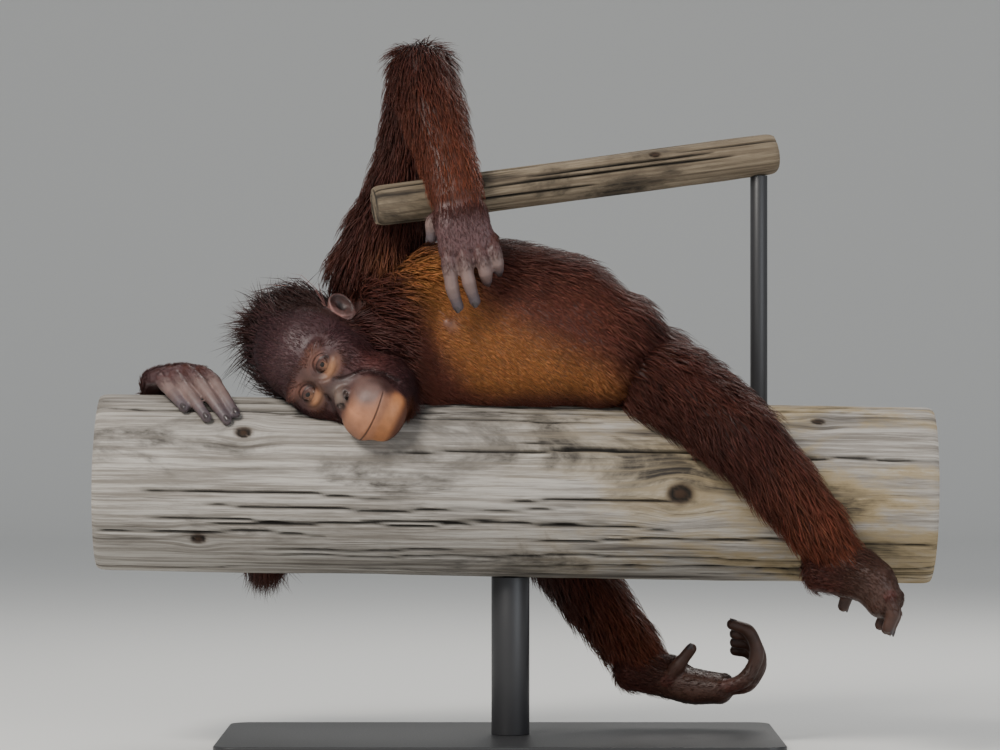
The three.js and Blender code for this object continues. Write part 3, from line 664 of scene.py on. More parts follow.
def ear_markings(colour, at, x):
    """Pinkish rims round the cups, with painted shade in the groove inside the rim and at the bottom of
    each cup.
    """
    for s, middle in EARS:
        out, tall, wide = ear_axes(s)
        r = at - from_head(middle)
        reach = np.hypot((r @ tall) / 18.5, (r @ wide) / 13.5)
        ear = smooth(1.06 - reach, 0, 0.05) * (np.abs(r @ out) < 14) * (s * x > 48)
        colour = mix(colour, (0.105, 0.048, 0.042), ear)
        colour = mix(colour, (0.22, 0.108, 0.095), ear * smooth(reach, 0.78, 0.90))
        # Painted shade: dark in the groove between the rim and the inner ridge, darker at the bottom of the
        # cup.
        way = np.arctan2(r @ tall, r @ wide)
        fold = 0.52 + 0.10 * np.sin(way + 0.6)
        hollow_shade = np.exp(-((reach - fold - 0.21) / 0.07) ** 2) * smooth(np.cos(way - 0.5), -0.6, 0.2)
        colour = mix(colour, (0.030, 0.012, 0.010), ear * 0.85 * hollow_shade)
        colour = mix(colour, (0.022, 0.009, 0.008), ear * smooth(fold - 0.10 - reach, 0, 0.16))
    return colour


def markings(at, which, share, digit):
    """The animal's own colours, for the hide and for the hair that grows on it alike."""
    x, y, z = to_head(at).T
    head = on_skull(at)
    face = head * smooth(z, -58, -40)
    colour = body_markings(at, which, share, digit)
    colour = mix(colour, (0.034, 0.014, 0.012), head)
    colour = mix(colour, (0.062, 0.020, 0.016), head * smooth(-y, -10, 15))
    colour = mix(colour, (0.046, 0.019, 0.021), face)
    # The face's patches, with the painted sheen on the forehead among them.
    for tone, strength, middle, size in FACE_PATCHES_AND_SHEEN:
        colour = mix(colour, tone, strength * face * blot(np.abs(x), y, middle, size))
    colour = eye_markings(colour, face, np.abs(x), y)
    colour = mix(colour, (0.17, 0.125, 0.10), 0.85 * face * blot(np.abs(x), y, (0, -33), (12, 12)))
    colour = muzzle_markings(colour, face, x, y, z)
    colour = ear_markings(colour, at, x)
    nipple = np.linalg.norm(at - NIPPLE, axis=1)
    colour = mix(colour, (0.20, 0.075, 0.045), np.exp(-(nipple / 9) ** 2))
    return mix(colour, (0.42, 0.20, 0.13), np.exp(-(nipple / 4.5) ** 2))


def paint(piece, name, colour):
    attribute = piece.data.color_attributes.new(name, "FLOAT_COLOR", "POINT")
    rgba = np.ones((len(colour), 4), np.float32)
    rgba[:, :3] = colour
    attribute.data.foreach_set("color", rgba.ravel())


def bareness(at, which):
    """1 on the skin that shows: the face, the hands and the feet."""
    return np.clip(bare(at) + np.isin(which, HANDS + FEET), 0, 1)


def new_material(name, **values):
    """A material with its nodes, its links and its shader, whose inputs are named with _ for a space."""
    material = bpy.data.materials.new(name)
    material.use_nodes = True
    shader = material.node_tree.nodes["Principled BSDF"]
    for key, value in values.items():
        shader.inputs[key.replace("_", " ")].default_value = value
    return material, material.node_tree.nodes, material.node_tree.links, shader


def add_node(nodes, kind, **values):
    """A shader node with its inputs set, named with _ for a space."""
    node = nodes.new("ShaderNode" + kind)
    for key, value in values.items():
        node.inputs[key.replace("_", " ")].default_value = value
    return node


def add_noise(nodes, links, **values):
    """A noise on Object coordinates."""
    place = add_node(nodes, "TexCoord")
    noise = add_node(nodes, "TexNoise", **values)
    links.new(place.outputs["Object"], noise.inputs["Vector"])
    return noise


def add_bump(nodes, links, shader, height, strength, distance):
    bump = add_node(nodes, "Bump", Strength=strength, Distance=distance)
    links.new(height, bump.inputs["Height"])
    links.new(bump.outputs["Normal"], shader.inputs["Normal"])


def tint_by(attribute, noise, low, high, nodes, links, shader):
    """Colours a shader by an attribute, times a noise spread from low to high."""
    tint = add_node(nodes, "Attribute")
    tint.attribute_name = attribute
    ramp = add_node(nodes, "MapRange", To_Min=low, To_Max=high)
    links.new(noise.outputs["Fac"], ramp.inputs["Value"])
    shade = add_node(nodes, "VectorMath")
    shade.operation = "SCALE"
    links.new(tint.outputs["Color"], shade.inputs[0])
    links.new(ramp.outputs["Result"], shade.inputs["Scale"])
    links.new(shade.outputs["Vector"], shader.inputs["Base Color"])


at = points_of(skin)
naked = bareness(at, nearest_form(at)[0])
group = skin.vertex_groups.new(name="covered")
for level in (0.0, 1.0):
    group.add([int(i) for i in np.nonzero((naked < 0.5) == bool(level))[0]], level, "REPLACE")
apply_modifier(skin, "DECIMATE", ratio=0.5, vertex_group="covered")
at = points_of(skin)
which, share, _, _, _, digit = nearest_form(at)
# Painted shade: the hide is darkened to half where the coat covers it.
coat_shade = 0.5 + 0.5 * bareness(at, which)     # the hide is darker where the coat hides it
paint(skin, "hide", markings(at, which, share, digit) * coat_shade[:, None])
bpy.ops.object.shade_smooth()

material, nodes, links, shader = new_material(
    "hide", Roughness=0.48, Specular_IOR_Level=0.42, Subsurface_Weight=0.06,
    Subsurface_Radius=(0.004, 0.0015, 0.001))
tint_by("hide", add_noise(nodes, links, Scale=90, Detail=6), 0.62, 1.35, nodes, links, shader)
creases = add_noise(nodes, links, Scale=420, Detail=5)
place = add_node(nodes, "TexCoord")
pores = add_node(nodes, "TexVoronoi", Scale=700)
pores.feature = "DISTANCE_TO_EDGE"
links.new(place.outputs["Object"], pores.inputs["Vector"])
height = add_node(nodes, "Math")
height.operation = "MULTIPLY_ADD"
height.inputs[1].default_value = 0.6
links.new(pores.outputs["Distance"], height.inputs[0])
links.new(creases.outputs["Fac"], height.inputs[2])
add_bump(nodes, links, shader, height.outputs["Value"], 0.35, 0.0008)
skin.data.materials.clear()
skin.data.materials.append(material)
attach(skin, "root")
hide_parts("head", "ear_left", "ear_right", *FORMS)

# Eyes: glass taxidermy eyes, a dark brown iris behind a clear bulged front, set in the lids.
# Each is a sphere primitive with its front drawn out, turned to look at the viewer.
for s, node in ((1, "eye_left"), (-1, "eye_right")):
    centre = from_head(np.array((s * EYE_APART / 2, 0, -EYE_BACK)))

    def eye_place(share, turn, centre=centre):
        lean = math.pi * share
        r = EYE_RADIUS + 0.5 * np.exp(-(lean / 0.42) ** 4)
        way = np.stack([np.sin(lean) * np.cos(turn), np.sin(lean) * np.sin(turn), np.cos(lean)], axis=-1)
        gaze = unit(FRONT + 0.05 * CROWN)
        across = unit(LEFT - gaze * (LEFT @ gaze))
        tall = np.cross(gaze, across)
        return centre + (way * r[:, None]) @ np.stack([across, tall, gaze])

    eye = laid(node + "_ball", eye_place, 64, 64)
    lean = np.linalg.norm(unit(points_of(eye) - centre) - unit(FRONT + 0.05 * CROWN), axis=1)
    colour = np.tile((0.060, 0.026, 0.015), (len(lean), 1))
    colour = mix(colour, (0.040, 0.016, 0.007), smooth(0.64 - lean, 0, 0.05))
    colour = mix(colour, (0.095, 0.040, 0.014), smooth(0.56 - lean, 0, 0.10))
    colour = mix(colour, (0.016, 0.007, 0.004), np.exp(-((lean - 0.64) / 0.05) ** 2))
    colour = mix(colour, (0.003, 0.002, 0.002), smooth(0.36 - lean, 0, 0.05))
    paint(eye, "iris", colour)
    bpy.ops.object.shade_smooth()
    if s == 1:
        glass, nodes, links, shader = new_material(
            "eye", Roughness=0.04, Specular_IOR_Level=0.15, Coat_Weight=0.6, Coat_Roughness=0.02)
        tint = add_node(nodes, "Attribute")
        tint.attribute_name = "iris"
        links.new(tint.outputs["Color"], shader.inputs["Base Color"])
    eye.data.materials.append(glass)
    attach(eye, "root")
    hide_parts(node)

# Nails: dark, short and domed, one at the end of each finger and toe. Each is a flattened
# sphere primitive let into the back of the tip.
nails = []
for name, (radius, paths) in DIGITS.items():
    for path in paths:
        form = digit_form(path, radius)
        centre, tangent, side, through, wide, deep = sections(form, np.array([0.97]))
        palm = spline(FORMS[name]["path"], np.array([0.8]))[0]
        curl = centre[0] - (spline(path, np.array([0.35]))[0] + palm) / 2
        bend = spline(path, np.array([0.5]))[0] * 2 - spline(path, np.array([0.0]))[0] - centre[0]
        back = unit(bend - tangent[0] * (bend @ tangent[0]))
        across = np.cross(tangent[0], back)
        r = wide[0]
        spot = centre[0] + tangent[0] * r * 0.45 + back * r * 0.62

        def nail_place(share, turn, spot=spot, across=across, back=back, ahead=tangent[0], r=r):
            lean = math.pi * share
            x, y, z = np.sin(lean) * np.cos(turn), np.sin(lean) * np.sin(turn), np.cos(lean)
            arch = -0.35 * x * x
            p = np.stack([x * r * 0.62, y * r * 0.72, (z * 0.14 + arch) * r * 0.9 + r * 0.32], axis=-1)
            return spot + p @ np.stack([across, ahead, back])

        nails.append(laid("nail", nail_place, 20, 14))
nails = joined(nails, "nails")
bpy.ops.object.shade_smooth()
material, nodes, links, shader = new_material("nail", Roughness=0.32)
ramp = add_node(nodes, "ValToRGB")
ramp.color_ramp.elements[0].color = (0.012, 0.010, 0.012, 1)
ramp.color_ramp.elements[1].color = (0.075, 0.055, 0.055, 1)
links.new(add_noise(nodes, links, Scale=260).outputs["Fac"], ramp.inputs["Fac"])
links.new(ramp.outputs["Color"], shader.inputs["Base Color"])
nails.data.materials.append(material)
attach(nails, "root")

# Coat: coarse hair in thin pointed tufts, rooted in the hide and laid along the body, longest
# on the crown, shoulders, elbows and thighs and short and fine on the chest, belly and face. Each
# tuft is a closed three-sided strand of solid mesh.
rng = np.random.default_rng(7)
LONG_TUFTS, SHORT_TUFTS = ((60000, 46000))
TUFTS_A_PIECE = 12000
mesh = skin.data
mesh.calc_loop_triangles()
corners = np.empty(len(mesh.loop_triangles) * 3, int)
mesh.loop_triangles.foreach_get("vertices", corners)
corners = corners.reshape(-1, 3)
at = points_of(skin)
a, b, c = at[corners[:, 0]], at[corners[:, 1]], at[corners[:, 2]]
cross = np.cross(b - a, c - a)
area = np.linalg.norm(cross, axis=1) / 2
middle = (a + b + c) / 3
which, share, _, _, _, digit = nearest_form(middle)
x, y, z = to_head(middle).T
skull, short, close = on_skull(middle, 4), bare(middle), close_haired(middle, which)
limb_end = np.isin(which, HANDS + FEET)


def bar_gap(at, start, end, radius):
    """Distance from a round bar's surface."""
    return np.linalg.norm(np.cross(at - start, unit(end - start)), axis=1) - radius


clear = np.minimum(bar_gap(middle, LOG_FROM, LOG_TO, LOG_RADIUS),
                   bar_gap(middle, BEAM_FROM, BEAM_TO, BEAM_RADIUS)) > 1.5
eye_zone = np.hypot((np.abs(x) - 20) / 1.1, y + 2) < 17
muzzle_zone = (np.abs(x) < 37) & (y < -20) & (y > -92) & (z > -2)
ear_zone = np.zeros(len(middle), bool)
for s, spot_at in EARS:
    ear_zone |= (np.linalg.norm(middle - from_head(spot_at), axis=1) < 20) & (s * x > 44)
nipple = np.linalg.norm(middle - NIPPLE, axis=1) < 6.5
open_zone = clear & ~nipple & ~(skull.astype(bool) & (eye_zone | muzzle_zone) & (z > -30)) & ~ear_zone
fur = np.where(limb_end, 0.5 * np.clip(1 - share, 0, 1) + 0.05, 1) * (digit == 0)
long_fur = fur * (1 + 1.6 * skull) * (1 - short) * (1 - 0.9 * close) * open_zone
furry_back = limb_end * (unit(cross) @ np.array((0, -0.7, 0.7)) > -0.1) * smooth(0.45 - digit, 0, 0.2)
short_fur = (2.2 * short * (z < 4) + 1.5 * close * (1 - skull) + 1.1 * furry_back) * open_zone

PATCH = 0.003                                    # size of a tuft's patch on the unwrap
HAIR_GAP = 0.6                                   # left between the hair and the two timbers
LOWEST_HAIR = 20                                 # just over the stand's board
RIGHT_ELBOW = (-275, 152, 243)                   # its long hair hangs below the log
material, nodes, links, shader = new_material("hair", Roughness=0.5, Specular_IOR_Level=0.22)
tint_by("hair", add_noise(nodes, links, Scale=26, Detail=4), 0.6, 1.4, nodes, links, shader)


def roots(weight, count):
    """Random places on the hide by weight, and the way out of the hide at each."""
    share_of = weight * area
    chosen = rng.choice(len(area), count, p=share_of / share_of.sum())
    u, v = rng.random(count), rng.random(count)
    over = u + v > 1
    u[over], v[over] = 1 - u[over], 1 - v[over]
    root = a[chosen] + (b - a)[chosen] * u[:, None] + (c - a)[chosen] * v[:, None]
    return root, unit(cross[chosen])


def combed(root, out, flow, skull, short, close):
    """The way each tuft lies: along its form, swept back over the head and down on the belly."""
    x, y, z = to_head(root).T
    swept = (-FRONT * (0.35 + 0.9 * (1 - short))[:, None]
             + CROWN * (1.3 * smooth(y, 8, 26) - 1.3 * smooth(-y, -4, 14))[:, None]
             + LEFT * (0.5 * np.tanh(x / 25))[:, None] + np.array((0, 0, -0.25)))
    flow = mix(flow, 0, skull) + unit(swept) * skull[:, None]
    flow = flow + close[:, None] * np.array((0.6, 0, -0.5)) + rng.normal(0, 0.12, (len(root), 3))
    return unit(flow - out * (flow * out).sum(1, keepdims=True))


def coat_depth(root, which, depth, skull, short, close):
    """How deep the coat is at each root."""
    x, y, z = to_head(root).T
    fuzz = 2.0 + 8 * smooth(-z, 14, 50) * smooth(-y, -5, 25) + 4 * smooth(y, 45, 75)
    full = np.where(skull > 0.5, (14 + 17 * smooth(y, -12, 22)) * (1 - short) + fuzz * short, depth)
    full = full * (1 - 0.74 * close)
    return np.where(np.isin(which, HANDS + FEET), np.clip(depth, 1.8, 5), full)


def strands(root, out, lie, full, which, rings):
    """The points of each tuft: `rings` rings of three, and a tip."""
    count = len(root)
    side = np.cross(lie, out)
    length = full * rng.uniform(1.7, 2.9, count) + 3
    rise = full * (0.3 + 0.65 * rng.random(count) ** 1.6)
    width = np.clip(0.26 + full * 0.032, 0.28, 0.78) * rng.uniform(0.65, 1.25, count)
    hang = np.array([FORMS[n]["hang"] for n in FORMS])[which]
    sag = hang * full * rng.uniform(0.3, 1.0, count)
    elbow = np.exp(-(np.linalg.norm(root - RIGHT_ELBOW, axis=1) / 38) ** 2)
    sag = sag + 26 * elbow * rng.uniform(0.6, 1.3, count)
    length = length + 14 * elbow
    curl = rng.normal(0, 0.10, count) * length
    turns = np.array((0.0, 2.094, 4.189))
    round_it = side[:, None] * np.cos(turns)[:, None] + out[:, None] * 0.6 * np.sin(turns)[:, None]
    points = []
    for k in range(rings + 1):
        t = k / rings
        spine = root - out * 0.8 + lie * (length * t)[:, None]
        spine = spine + out * (rise * np.sin(min(t, 0.8) / 0.8 * math.pi / 2))[:, None]
        spine = spine + side * (curl * t * t)[:, None]
        spine[:, 2] -= sag * t * t
        if k == rings:
            points.append(spine[:, None])
        else:
            points.append(spine[:, None] + round_it * (width * (1, 0.95, 0.65)[k])[:, None, None])
    strand = np.concatenate(points, axis=1)
    flat = push_off(strand.reshape(-1, 3), LOG_FROM, LOG_TO, LOG_RADIUS + HAIR_GAP)
    flat = push_off(flat, BEAM_FROM, BEAM_TO, BEAM_RADIUS + HAIR_GAP)
    flat[:, 2] = np.maximum(flat[:, 2], LOWEST_HAIR)
    return flat.reshape(strand.shape)


def tuft_pattern(rings):
    """The triangles of one closed tuft."""
    pattern = [(0, 2, 1)]
    for k in range(0, 3 * (rings - 1), 3):
        for i in range(3):
            j = (i + 1) % 3
            pattern += [(k + i, k + j, k + 3 + j), (k + i, k + 3 + j, k + 3 + i)]
    last = 3 * rings
    pattern += [(last - 3, last - 2, last), (last - 2, last - 1, last), (last - 1, last - 3, last)]
    return np.array(pattern)


def atlas(which, share, turn):
    """Place of a root on the hide's unwrap: a cell for each form, across its turn and its length."""
    cell = np.stack([which % 4, which // 4], axis=1) * 0.25
    spot = np.stack([turn / (2 * math.pi) + 0.5, np.clip(share, 0, 1)], axis=1)
    return cell + 0.01 + 0.23 * spot


def tuft_mesh(name, strand, pattern, uv):
    """A mesh of tufts with their unwrap."""
    triangles = (pattern + (np.arange(len(strand)) * strand.shape[1])[:, None, None]).reshape(-1, 3)
    mesh = bpy.data.meshes.new(name)
    mesh.vertices.add(len(strand) * strand.shape[1])
    mesh.vertices.foreach_set("co", (strand / 1000).astype(np.float32).ravel())
    mesh.loops.add(len(triangles) * 3)
    mesh.loops.foreach_set("vertex_index", triangles.astype(np.int32).ravel())
    mesh.polygons.add(len(triangles))
    mesh.polygons.foreach_set("loop_start", np.arange(0, len(triangles) * 3, 3, dtype=np.int32))
    mesh.polygons.foreach_set("use_smooth", np.ones(len(triangles), bool))
    mesh.update(calc_edges=True)
    layer = mesh.uv_layers.new(name="OFBake")
    layer.data.foreach_set("uv", uv.reshape(-1, 2)[triangles.ravel()].astype(np.float32).ravel())
    return mesh


def grow(name, weight, count, rings):
    """Plants tufts by weight over the hide and makes them into pieces."""
    root, out = roots(weight, count)
    which, share, turn, flow, depth, digit = nearest_form(root)
    skull, short, close = on_skull(root, 4), bare(root), close_haired(root, which)
    lie = combed(root, out, flow, skull, short, close)
    full = coat_depth(root, which, depth, skull, short, close)
    strand = strands(root, out, lie, full, which, rings)
    hair = markings(root, which, share, digit) * rng.uniform(0.65, 1.4, (count, 1))
    hair = np.clip(hair * rng.normal(1, 0.05, (count, 3)), 0.003, 0.9)
    # Painted shade deep in the coat: each tuft is darkest at its root and lighter towards its tip.
    tone = np.append(np.repeat(np.linspace(0.6, 1.05, rings), 3), 1.25)
    hair = hair[:, None] * tone[None, :, None]
    patch = np.array([(i / 2, k / rings) for k in range(rings) for i in range(3)] + [(0.5, 1)]) * PATCH
    home = atlas(which, share, turn)
    order = np.argsort(which, kind="stable")
    for n, start in enumerate(range(0, count, TUFTS_A_PIECE)):
        some = order[start:start + TUFTS_A_PIECE]
        uv = home[some][:, None] + patch
        mesh = tuft_mesh("%s_%02d" % (name, n), strand[some], tuft_pattern(rings), uv)
        coat = bpy.data.objects.new(mesh.name, mesh)
        bpy.context.scene.collection.objects.link(coat)
        paint(coat, "hair", hair[some].reshape(-1, 3))
        mesh.materials.append(material)
        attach(coat, "root")


grow("coat_long", long_fur, LONG_TUFTS, 3)
grow("coat_short", short_fur, SHORT_TUFTS, 2)

# Log: a peeled softwood pole, weathered grey, with long drying cracks and knots. It's a cylinder
# primitive cut into rings, with the cracks and the knots pressed into it.
def pole(name, around, rows):
    """A unit cylinder primitive cut across into rows."""
    bpy.ops.object.select_all(action="DESELECT")
    bpy.ops.mesh.primitive_cylinder_add(vertices=around, radius=1, depth=1, end_fill_type="NGON")
    piece = bpy.context.object
    piece.name = name
    mesh = bmesh.new()
    mesh.from_mesh(piece.data)
    upright = [e for e in mesh.edges if abs(e.verts[0].co.z - e.verts[1].co.z) > 0.5]
    bmesh.ops.subdivide_edges(mesh, edges=upright, cuts=rows, use_grid_fill=True)
    mesh.to_mesh(piece.data)
    mesh.free()
    return piece


def waves(x, turn, seed, stretch, around):
    """A seeded sum of waves, long along the grain."""
    local = np.random.default_rng(seed)
    total = np.zeros(len(x))
    for k in range(24):
        f = 2 ** (k / 6)
        total += np.sin(x * f * stretch * local.uniform(0.6, 1.4) + local.uniform(0, 6.28)
                        + np.round(around * f * local.uniform(0.5, 1.5)) * turn) / f
    return total / 4


def lay_pole(piece, start, end, radius, seed, cracks, knots):
    """Lays a unit pole between two points, with cracks and knots as (x, turn, size) lists, and
    keeps how deep the cracks are, where the knots are and how the grain runs as attributes."""
    at = points_of(piece) / 1000
    turn = np.arctan2(at[:, 1], at[:, 0])
    length = np.linalg.norm(end - start)
    x = (at[:, 2] + 0.5) * length
    r = np.hypot(at[:, 0], at[:, 1])
    dent = 0.9 * waves(x / 1000, turn, seed, 7, 2.5) + 0.3 * waves(x / 1000, turn, seed + 1, 20, 60)
    deep, ring = np.zeros(len(x)), np.zeros(len(x))
    for cx, ct, size in cracks:
        wander = ct + 0.03 * np.sin(x / 90 + cx) + 0.012 * np.sin(x / 23 + ct * 9)
        off = (turn - wander + math.pi) % (2 * math.pi) - math.pi
        span = np.clip(1 - ((x - cx) / size) ** 2, 0, 1)
        deep = np.maximum(deep, span ** 0.5 * np.exp(-(off * radius / 1.2) ** 2) * min(4.5, size / 26))
    bent = np.zeros(len(x))
    for kx, kt, size in knots:
        off = ((turn - kt + math.pi) % (2 * math.pi) - math.pi) * radius
        far = np.hypot((x - kx) / 1.3, off) / size
        dent += 1.2 * np.exp(-(far / 1.8) ** 2)
        ring = np.maximum(ring, np.exp(-(far / 1.05) ** 6))
        deep = np.maximum(deep, 2.5 * np.exp(-((far - 0.62) / 0.16) ** 2))
        bent -= off * 0.8 * np.exp(-(far / 2.4) ** 2)
    edge = np.minimum(x, length - x)
    size = radius - 1.2 + np.clip(dent, -1.2, 1.1) - deep - 2.5 * np.exp(-edge / 3)
    size = np.where(r > 0.99, size, r * (radius - 4))
    axis = unit(end - start)
    up = unit(np.array((0, 0, 1.0)) - axis * axis[2])
    back = np.cross(up, axis)
    p = start + axis * x[:, None]
    p = p + (np.cos(turn) * size)[:, None] * up + (np.sin(turn) * size)[:, None] * back
    set_points(piece, p)
    face_outwards()
    bpy.ops.object.shade_smooth_by_angle(angle=math.radians(50))
    # The cracks' depth goes into the first channel, for painted shade in the cracks and the grooves round
    # the knots; the knots and the tan towards one end are the wood's own colours.
    paint(piece, "crack_shade_and_marks", np.stack([np.clip(deep / 2, 0, 1), ring, smooth(x, 380, 800)], axis=1))
    grain = turn + bent / radius
    paint(piece, "grain", np.stack([x, radius * np.cos(grain), radius * np.sin(grain)], axis=1) / 1000)


def weathered_wood(name, light, mid, dark, tan, grain):
    """Weathered wood: fine grain and bands along the pole, stains and knots, with painted shade in the
    cracks.
    """
    material, nodes, links, shader = new_material(name, Roughness=0.82, Specular_IOR_Level=0.25)
    crack_shade_and_marks, run = add_node(nodes, "Attribute"), add_node(nodes, "Attribute")
    crack_shade_and_marks.attribute_name, run.attribute_name = "crack_shade_and_marks", "grain"
    split = add_node(nodes, "SeparateColor")
    links.new(crack_shade_and_marks.outputs["Color"], split.inputs["Color"])

    def noise(scale, detail, along_grain, rough=0.6, twist=0.0):
        mapping = add_node(nodes, "Mapping", Scale=(along_grain, 1, 1))
        texture = add_node(nodes, "TexNoise", Scale=scale, Detail=detail, Roughness=rough, Distortion=twist)
        links.new(run.outputs["Color"], mapping.inputs["Vector"])
        links.new(mapping.outputs["Vector"], texture.inputs["Vector"])
        return texture.outputs["Fac"]

    def layered(a, b, fac):
        mixer = add_node(nodes, "Mix")
        mixer.data_type = "RGBA"
        for socket, value in ((6, a), (7, b), (0, fac)):
            if isinstance(value, tuple):
                mixer.inputs[socket].default_value = (*value, 1)
            else:
                links.new(value, mixer.inputs[socket])
        return mixer.outputs[2]

    def steps(value, low, high):
        ramp = add_node(nodes, "MapRange", From_Min=low, From_Max=high)
        ramp.interpolation_type = "SMOOTHSTEP"
        links.new(value, ramp.inputs["Value"])
        return ramp.outputs["Result"]

    def times(a, b):
        node = add_node(nodes, "Math")
        node.operation = "MULTIPLY"
        links.new(a, node.inputs[0])
        links.new(b, node.inputs[1])
        return node.outputs["Value"]

    fine = noise(grain, 9, 0.03, 0.75)
    thread = noise(grain * 2.4, 5, 0.02, 0.7)
    band = noise(grain / 4.5, 5, 0.06, 0.6, 0.3)
    stain = noise(11, 7, 0.45, 0.65, 0.4)
    colour = layered(mid, light, steps(fine, 0.38, 0.62))
    colour = layered(colour, tan, times(split.outputs[2], steps(stain, 0.42, 0.56)))
    colour = layered(colour, dark, steps(band, 0.53, 0.70))
    colour = layered(colour, dark, steps(thread, 0.55, 0.75))
    damp = times(steps(stain, 0.50, 0.66), steps(fine, 0.25, 0.60))
    colour = layered(colour, tuple(0.5 * c for c in dark), damp)
    colour = layered(colour, (0.040, 0.022, 0.013), split.outputs[1])
    # Painted shade: near black in the cracks and the grooves round the knots.
    colour = layered(colour, (0.010, 0.008, 0.006), split.outputs[0])
    links.new(colour, shader.inputs["Base Color"])
    add_bump(nodes, links, shader, fine, 0.6, 0.0016)
    return material


log = pole("log", 220, 250)
cracks = [(rng.uniform(60, 900), rng.uniform(-3.1, 3.1), rng.uniform(40, 330)) for _ in range(60)]
knots = [(663, -1.57, 12), (169, -0.92, 8), (300, 0.9, 7), (120, -2.2, 7), (820, -0.6, 6), (470, 2.0, 12)]
lay_pole(log, LOG_FROM, LOG_TO, LOG_RADIUS, 3, cracks, knots)
log.data.materials.append(weathered_wood(
    "weathered_pine", light=(0.43, 0.40, 0.36), mid=(0.20, 0.178, 0.153), dark=(0.062, 0.052, 0.044),
    tan=(0.33, 0.255, 0.145), grain=170))
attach(log, "root")
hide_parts("perch_log")

# Beam: a thinner, older and darker round timber that the raised arm hangs over, made as the log
# is, from a cylinder primitive with its own cracks.
beam = pole("beam", 96, 150)
cracks = [(rng.uniform(30, 440), rng.uniform(-3.1, 3.1), rng.uniform(30, 160)) for _ in range(26)]
knots = [(120, -1.2, 4), (330, -0.8, 5)]
lay_pole(beam, BEAM_FROM, BEAM_TO, BEAM_RADIUS, 9, cracks, knots)
beam.data.materials.append(weathered_wood(
    "weathered_dark", light=(0.24, 0.19, 0.13), mid=(0.12, 0.09, 0.06), dark=(0.035, 0.027, 0.02),
    tan=(0.2, 0.14, 0.08), grain=260))
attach(beam, "root")
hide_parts("perch_beam")

# Stand: a bevelled board on the ground with a thick steel rod up to the log and a thin one from
# the log to the beam, all in satin dark grey paint.
def edit_edges(piece, chosen):
    """Goes into edit mode with only the edges selected whose two ends `chosen` accepts."""
    bpy.ops.object.mode_set(mode="EDIT")
    bpy.ops.mesh.select_mode(type="EDGE")
    bpy.ops.mesh.select_all(action="DESELECT")
    bpy.ops.object.mode_set(mode="OBJECT")
    for edge in piece.data.edges:
        edge.select = chosen(*[piece.data.vertices[i].co for i in edge.vertices])
    bpy.ops.object.mode_set(mode="EDIT")


bpy.ops.object.select_all(action="DESELECT")
bpy.ops.mesh.primitive_cube_add(size=1, location=(0, 0, 0.009), scale=(0.64, 0.34, 0.018))
base = bpy.context.object
bpy.ops.object.transform_apply(location=True, rotation=True, scale=True)
base.name = "base"
edit_edges(base, lambda one, two: abs(one.z - two.z) > 0.01)
bpy.ops.mesh.bevel(offset=0.024, segments=10)
bpy.ops.object.mode_set(mode="OBJECT")
apply_modifier(base, "BEVEL", width=0.0018, segments=3, limit_method="ANGLE")


def rod(name, x, y, low, high, radius):
    bpy.ops.object.select_all(action="DESELECT")
    bpy.ops.mesh.primitive_cylinder_add(vertices=64, radius=radius, depth=high - low,
                                        location=(x, y, (high + low) / 2))
    piece = bpy.context.object
    piece.name = name
    bpy.ops.object.transform_apply(location=True, rotation=True, scale=True)
    apply_modifier(piece, "BEVEL", width=0.0006, segments=2, limit_method="ANGLE")
    bpy.ops.object.shade_smooth_by_angle(angle=math.radians(40))
    return piece


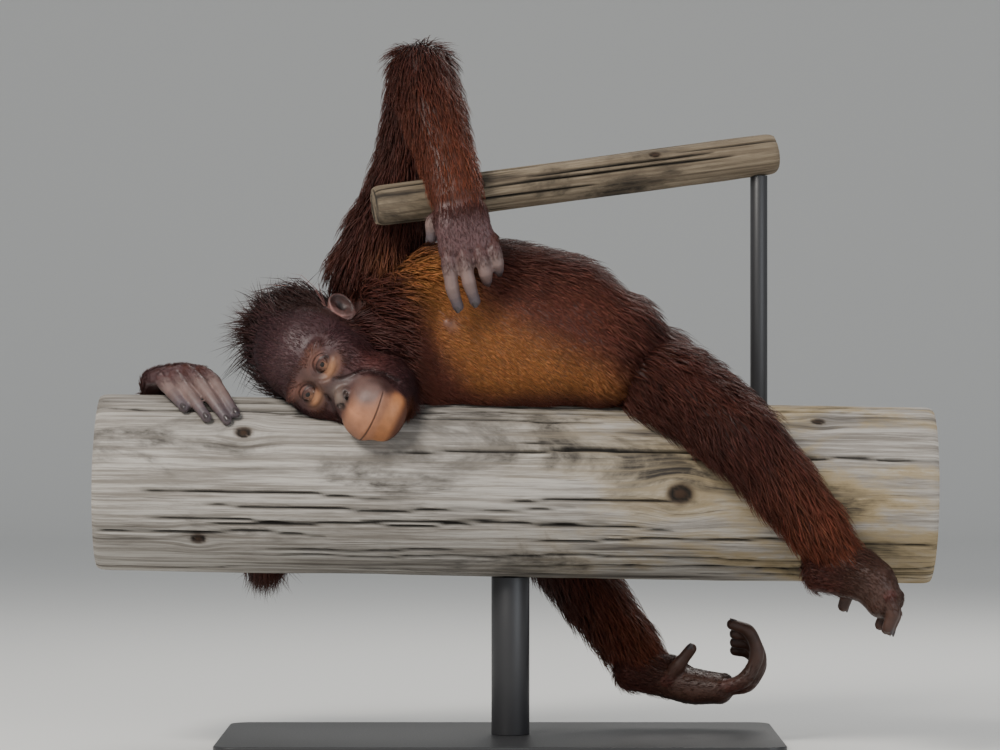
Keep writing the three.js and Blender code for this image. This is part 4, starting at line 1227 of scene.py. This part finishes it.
rod_log = rod("rod_log", 0.012, 0, 0.0183, 0.199, 0.0219)
rod_beam = rod("rod_beam", 0.300, 0.0398, 0.388, 0.662, 0.00995)
material, nodes, links, shader = new_material("stand_paint", Base_Color=(0.028, 0.028, 0.030, 1))
orange_peel = add_noise(nodes, links, Scale=500)
ramp = add_node(nodes, "MapRange", To_Min=0.34, To_Max=0.5)
links.new(orange_peel.outputs["Fac"], ramp.inputs["Value"])
links.new(ramp.outputs["Result"], shader.inputs["Roughness"])
add_bump(nodes, links, shader, orange_peel.outputs["Fac"], 0.1, 0.0002)
for piece, node in ((base, "stand_base"), (rod_log, "stand_rod_log"), (rod_beam, "stand_rod_beam")):
    piece.data.materials.append(material)
    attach(piece, "root")
    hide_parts(node)

# Setting: a plain pale floor and backdrop in one sweep, with soft studio light from the upper
# front, a cooler fill and a rim light behind.
bpy.ops.object.select_all(action="DESELECT")
bpy.ops.mesh.primitive_plane_add(size=14, location=(0, 1.0, 0))
floor = bpy.context.object
floor.name = "floor"
bpy.ops.object.transform_apply(location=True, rotation=True, scale=True)
edit_edges(floor, lambda one, two: one.y > 5 and two.y > 5)
bpy.ops.mesh.extrude_region_move(TRANSFORM_OT_translate={"value": (0, 0, 6)})
bpy.ops.object.mode_set(mode="OBJECT")
apply_modifier(floor, "BEVEL", width=2.0, segments=16, limit_method="ANGLE")
bpy.ops.object.shade_smooth()
material, _, _, _ = new_material("floor", Base_Color=(0.72, 0.72, 0.70, 1), Roughness=0.9)
floor.data.materials.append(material)


def area_light(name, location, size, power, colour):
    light = bpy.data.objects.new(name, bpy.data.lights.new(name, "AREA"))
    light.data.size = size
    light.data.energy = power
    light.data.color = colour
    light.location = location
    light.rotation_mode = "QUATERNION"
    light.rotation_quaternion = (Vector((0, 0, 0.42)) - Vector(location)).to_track_quat("-Z", "Y")
    bpy.context.scene.collection.objects.link(light)


area_light("key", (-1.6, -2.4, 2.6), 1.1, 128, (1.0, 0.96, 0.90))
area_light("fill", (2.4, -2.6, 1.0), 2.0, 38, (0.88, 0.93, 1.0))
area_light("rim", (0.8, 1.8, 2.2), 1.4, 34, (1.0, 0.97, 0.92))
world = bpy.data.worlds.new("studio")
world.use_nodes = True
world.node_tree.nodes["Background"].inputs["Color"].default_value = (0.85, 0.88, 0.92, 1)
world.node_tree.nodes["Background"].inputs["Strength"].default_value = 0.45
bpy.context.scene.world = world
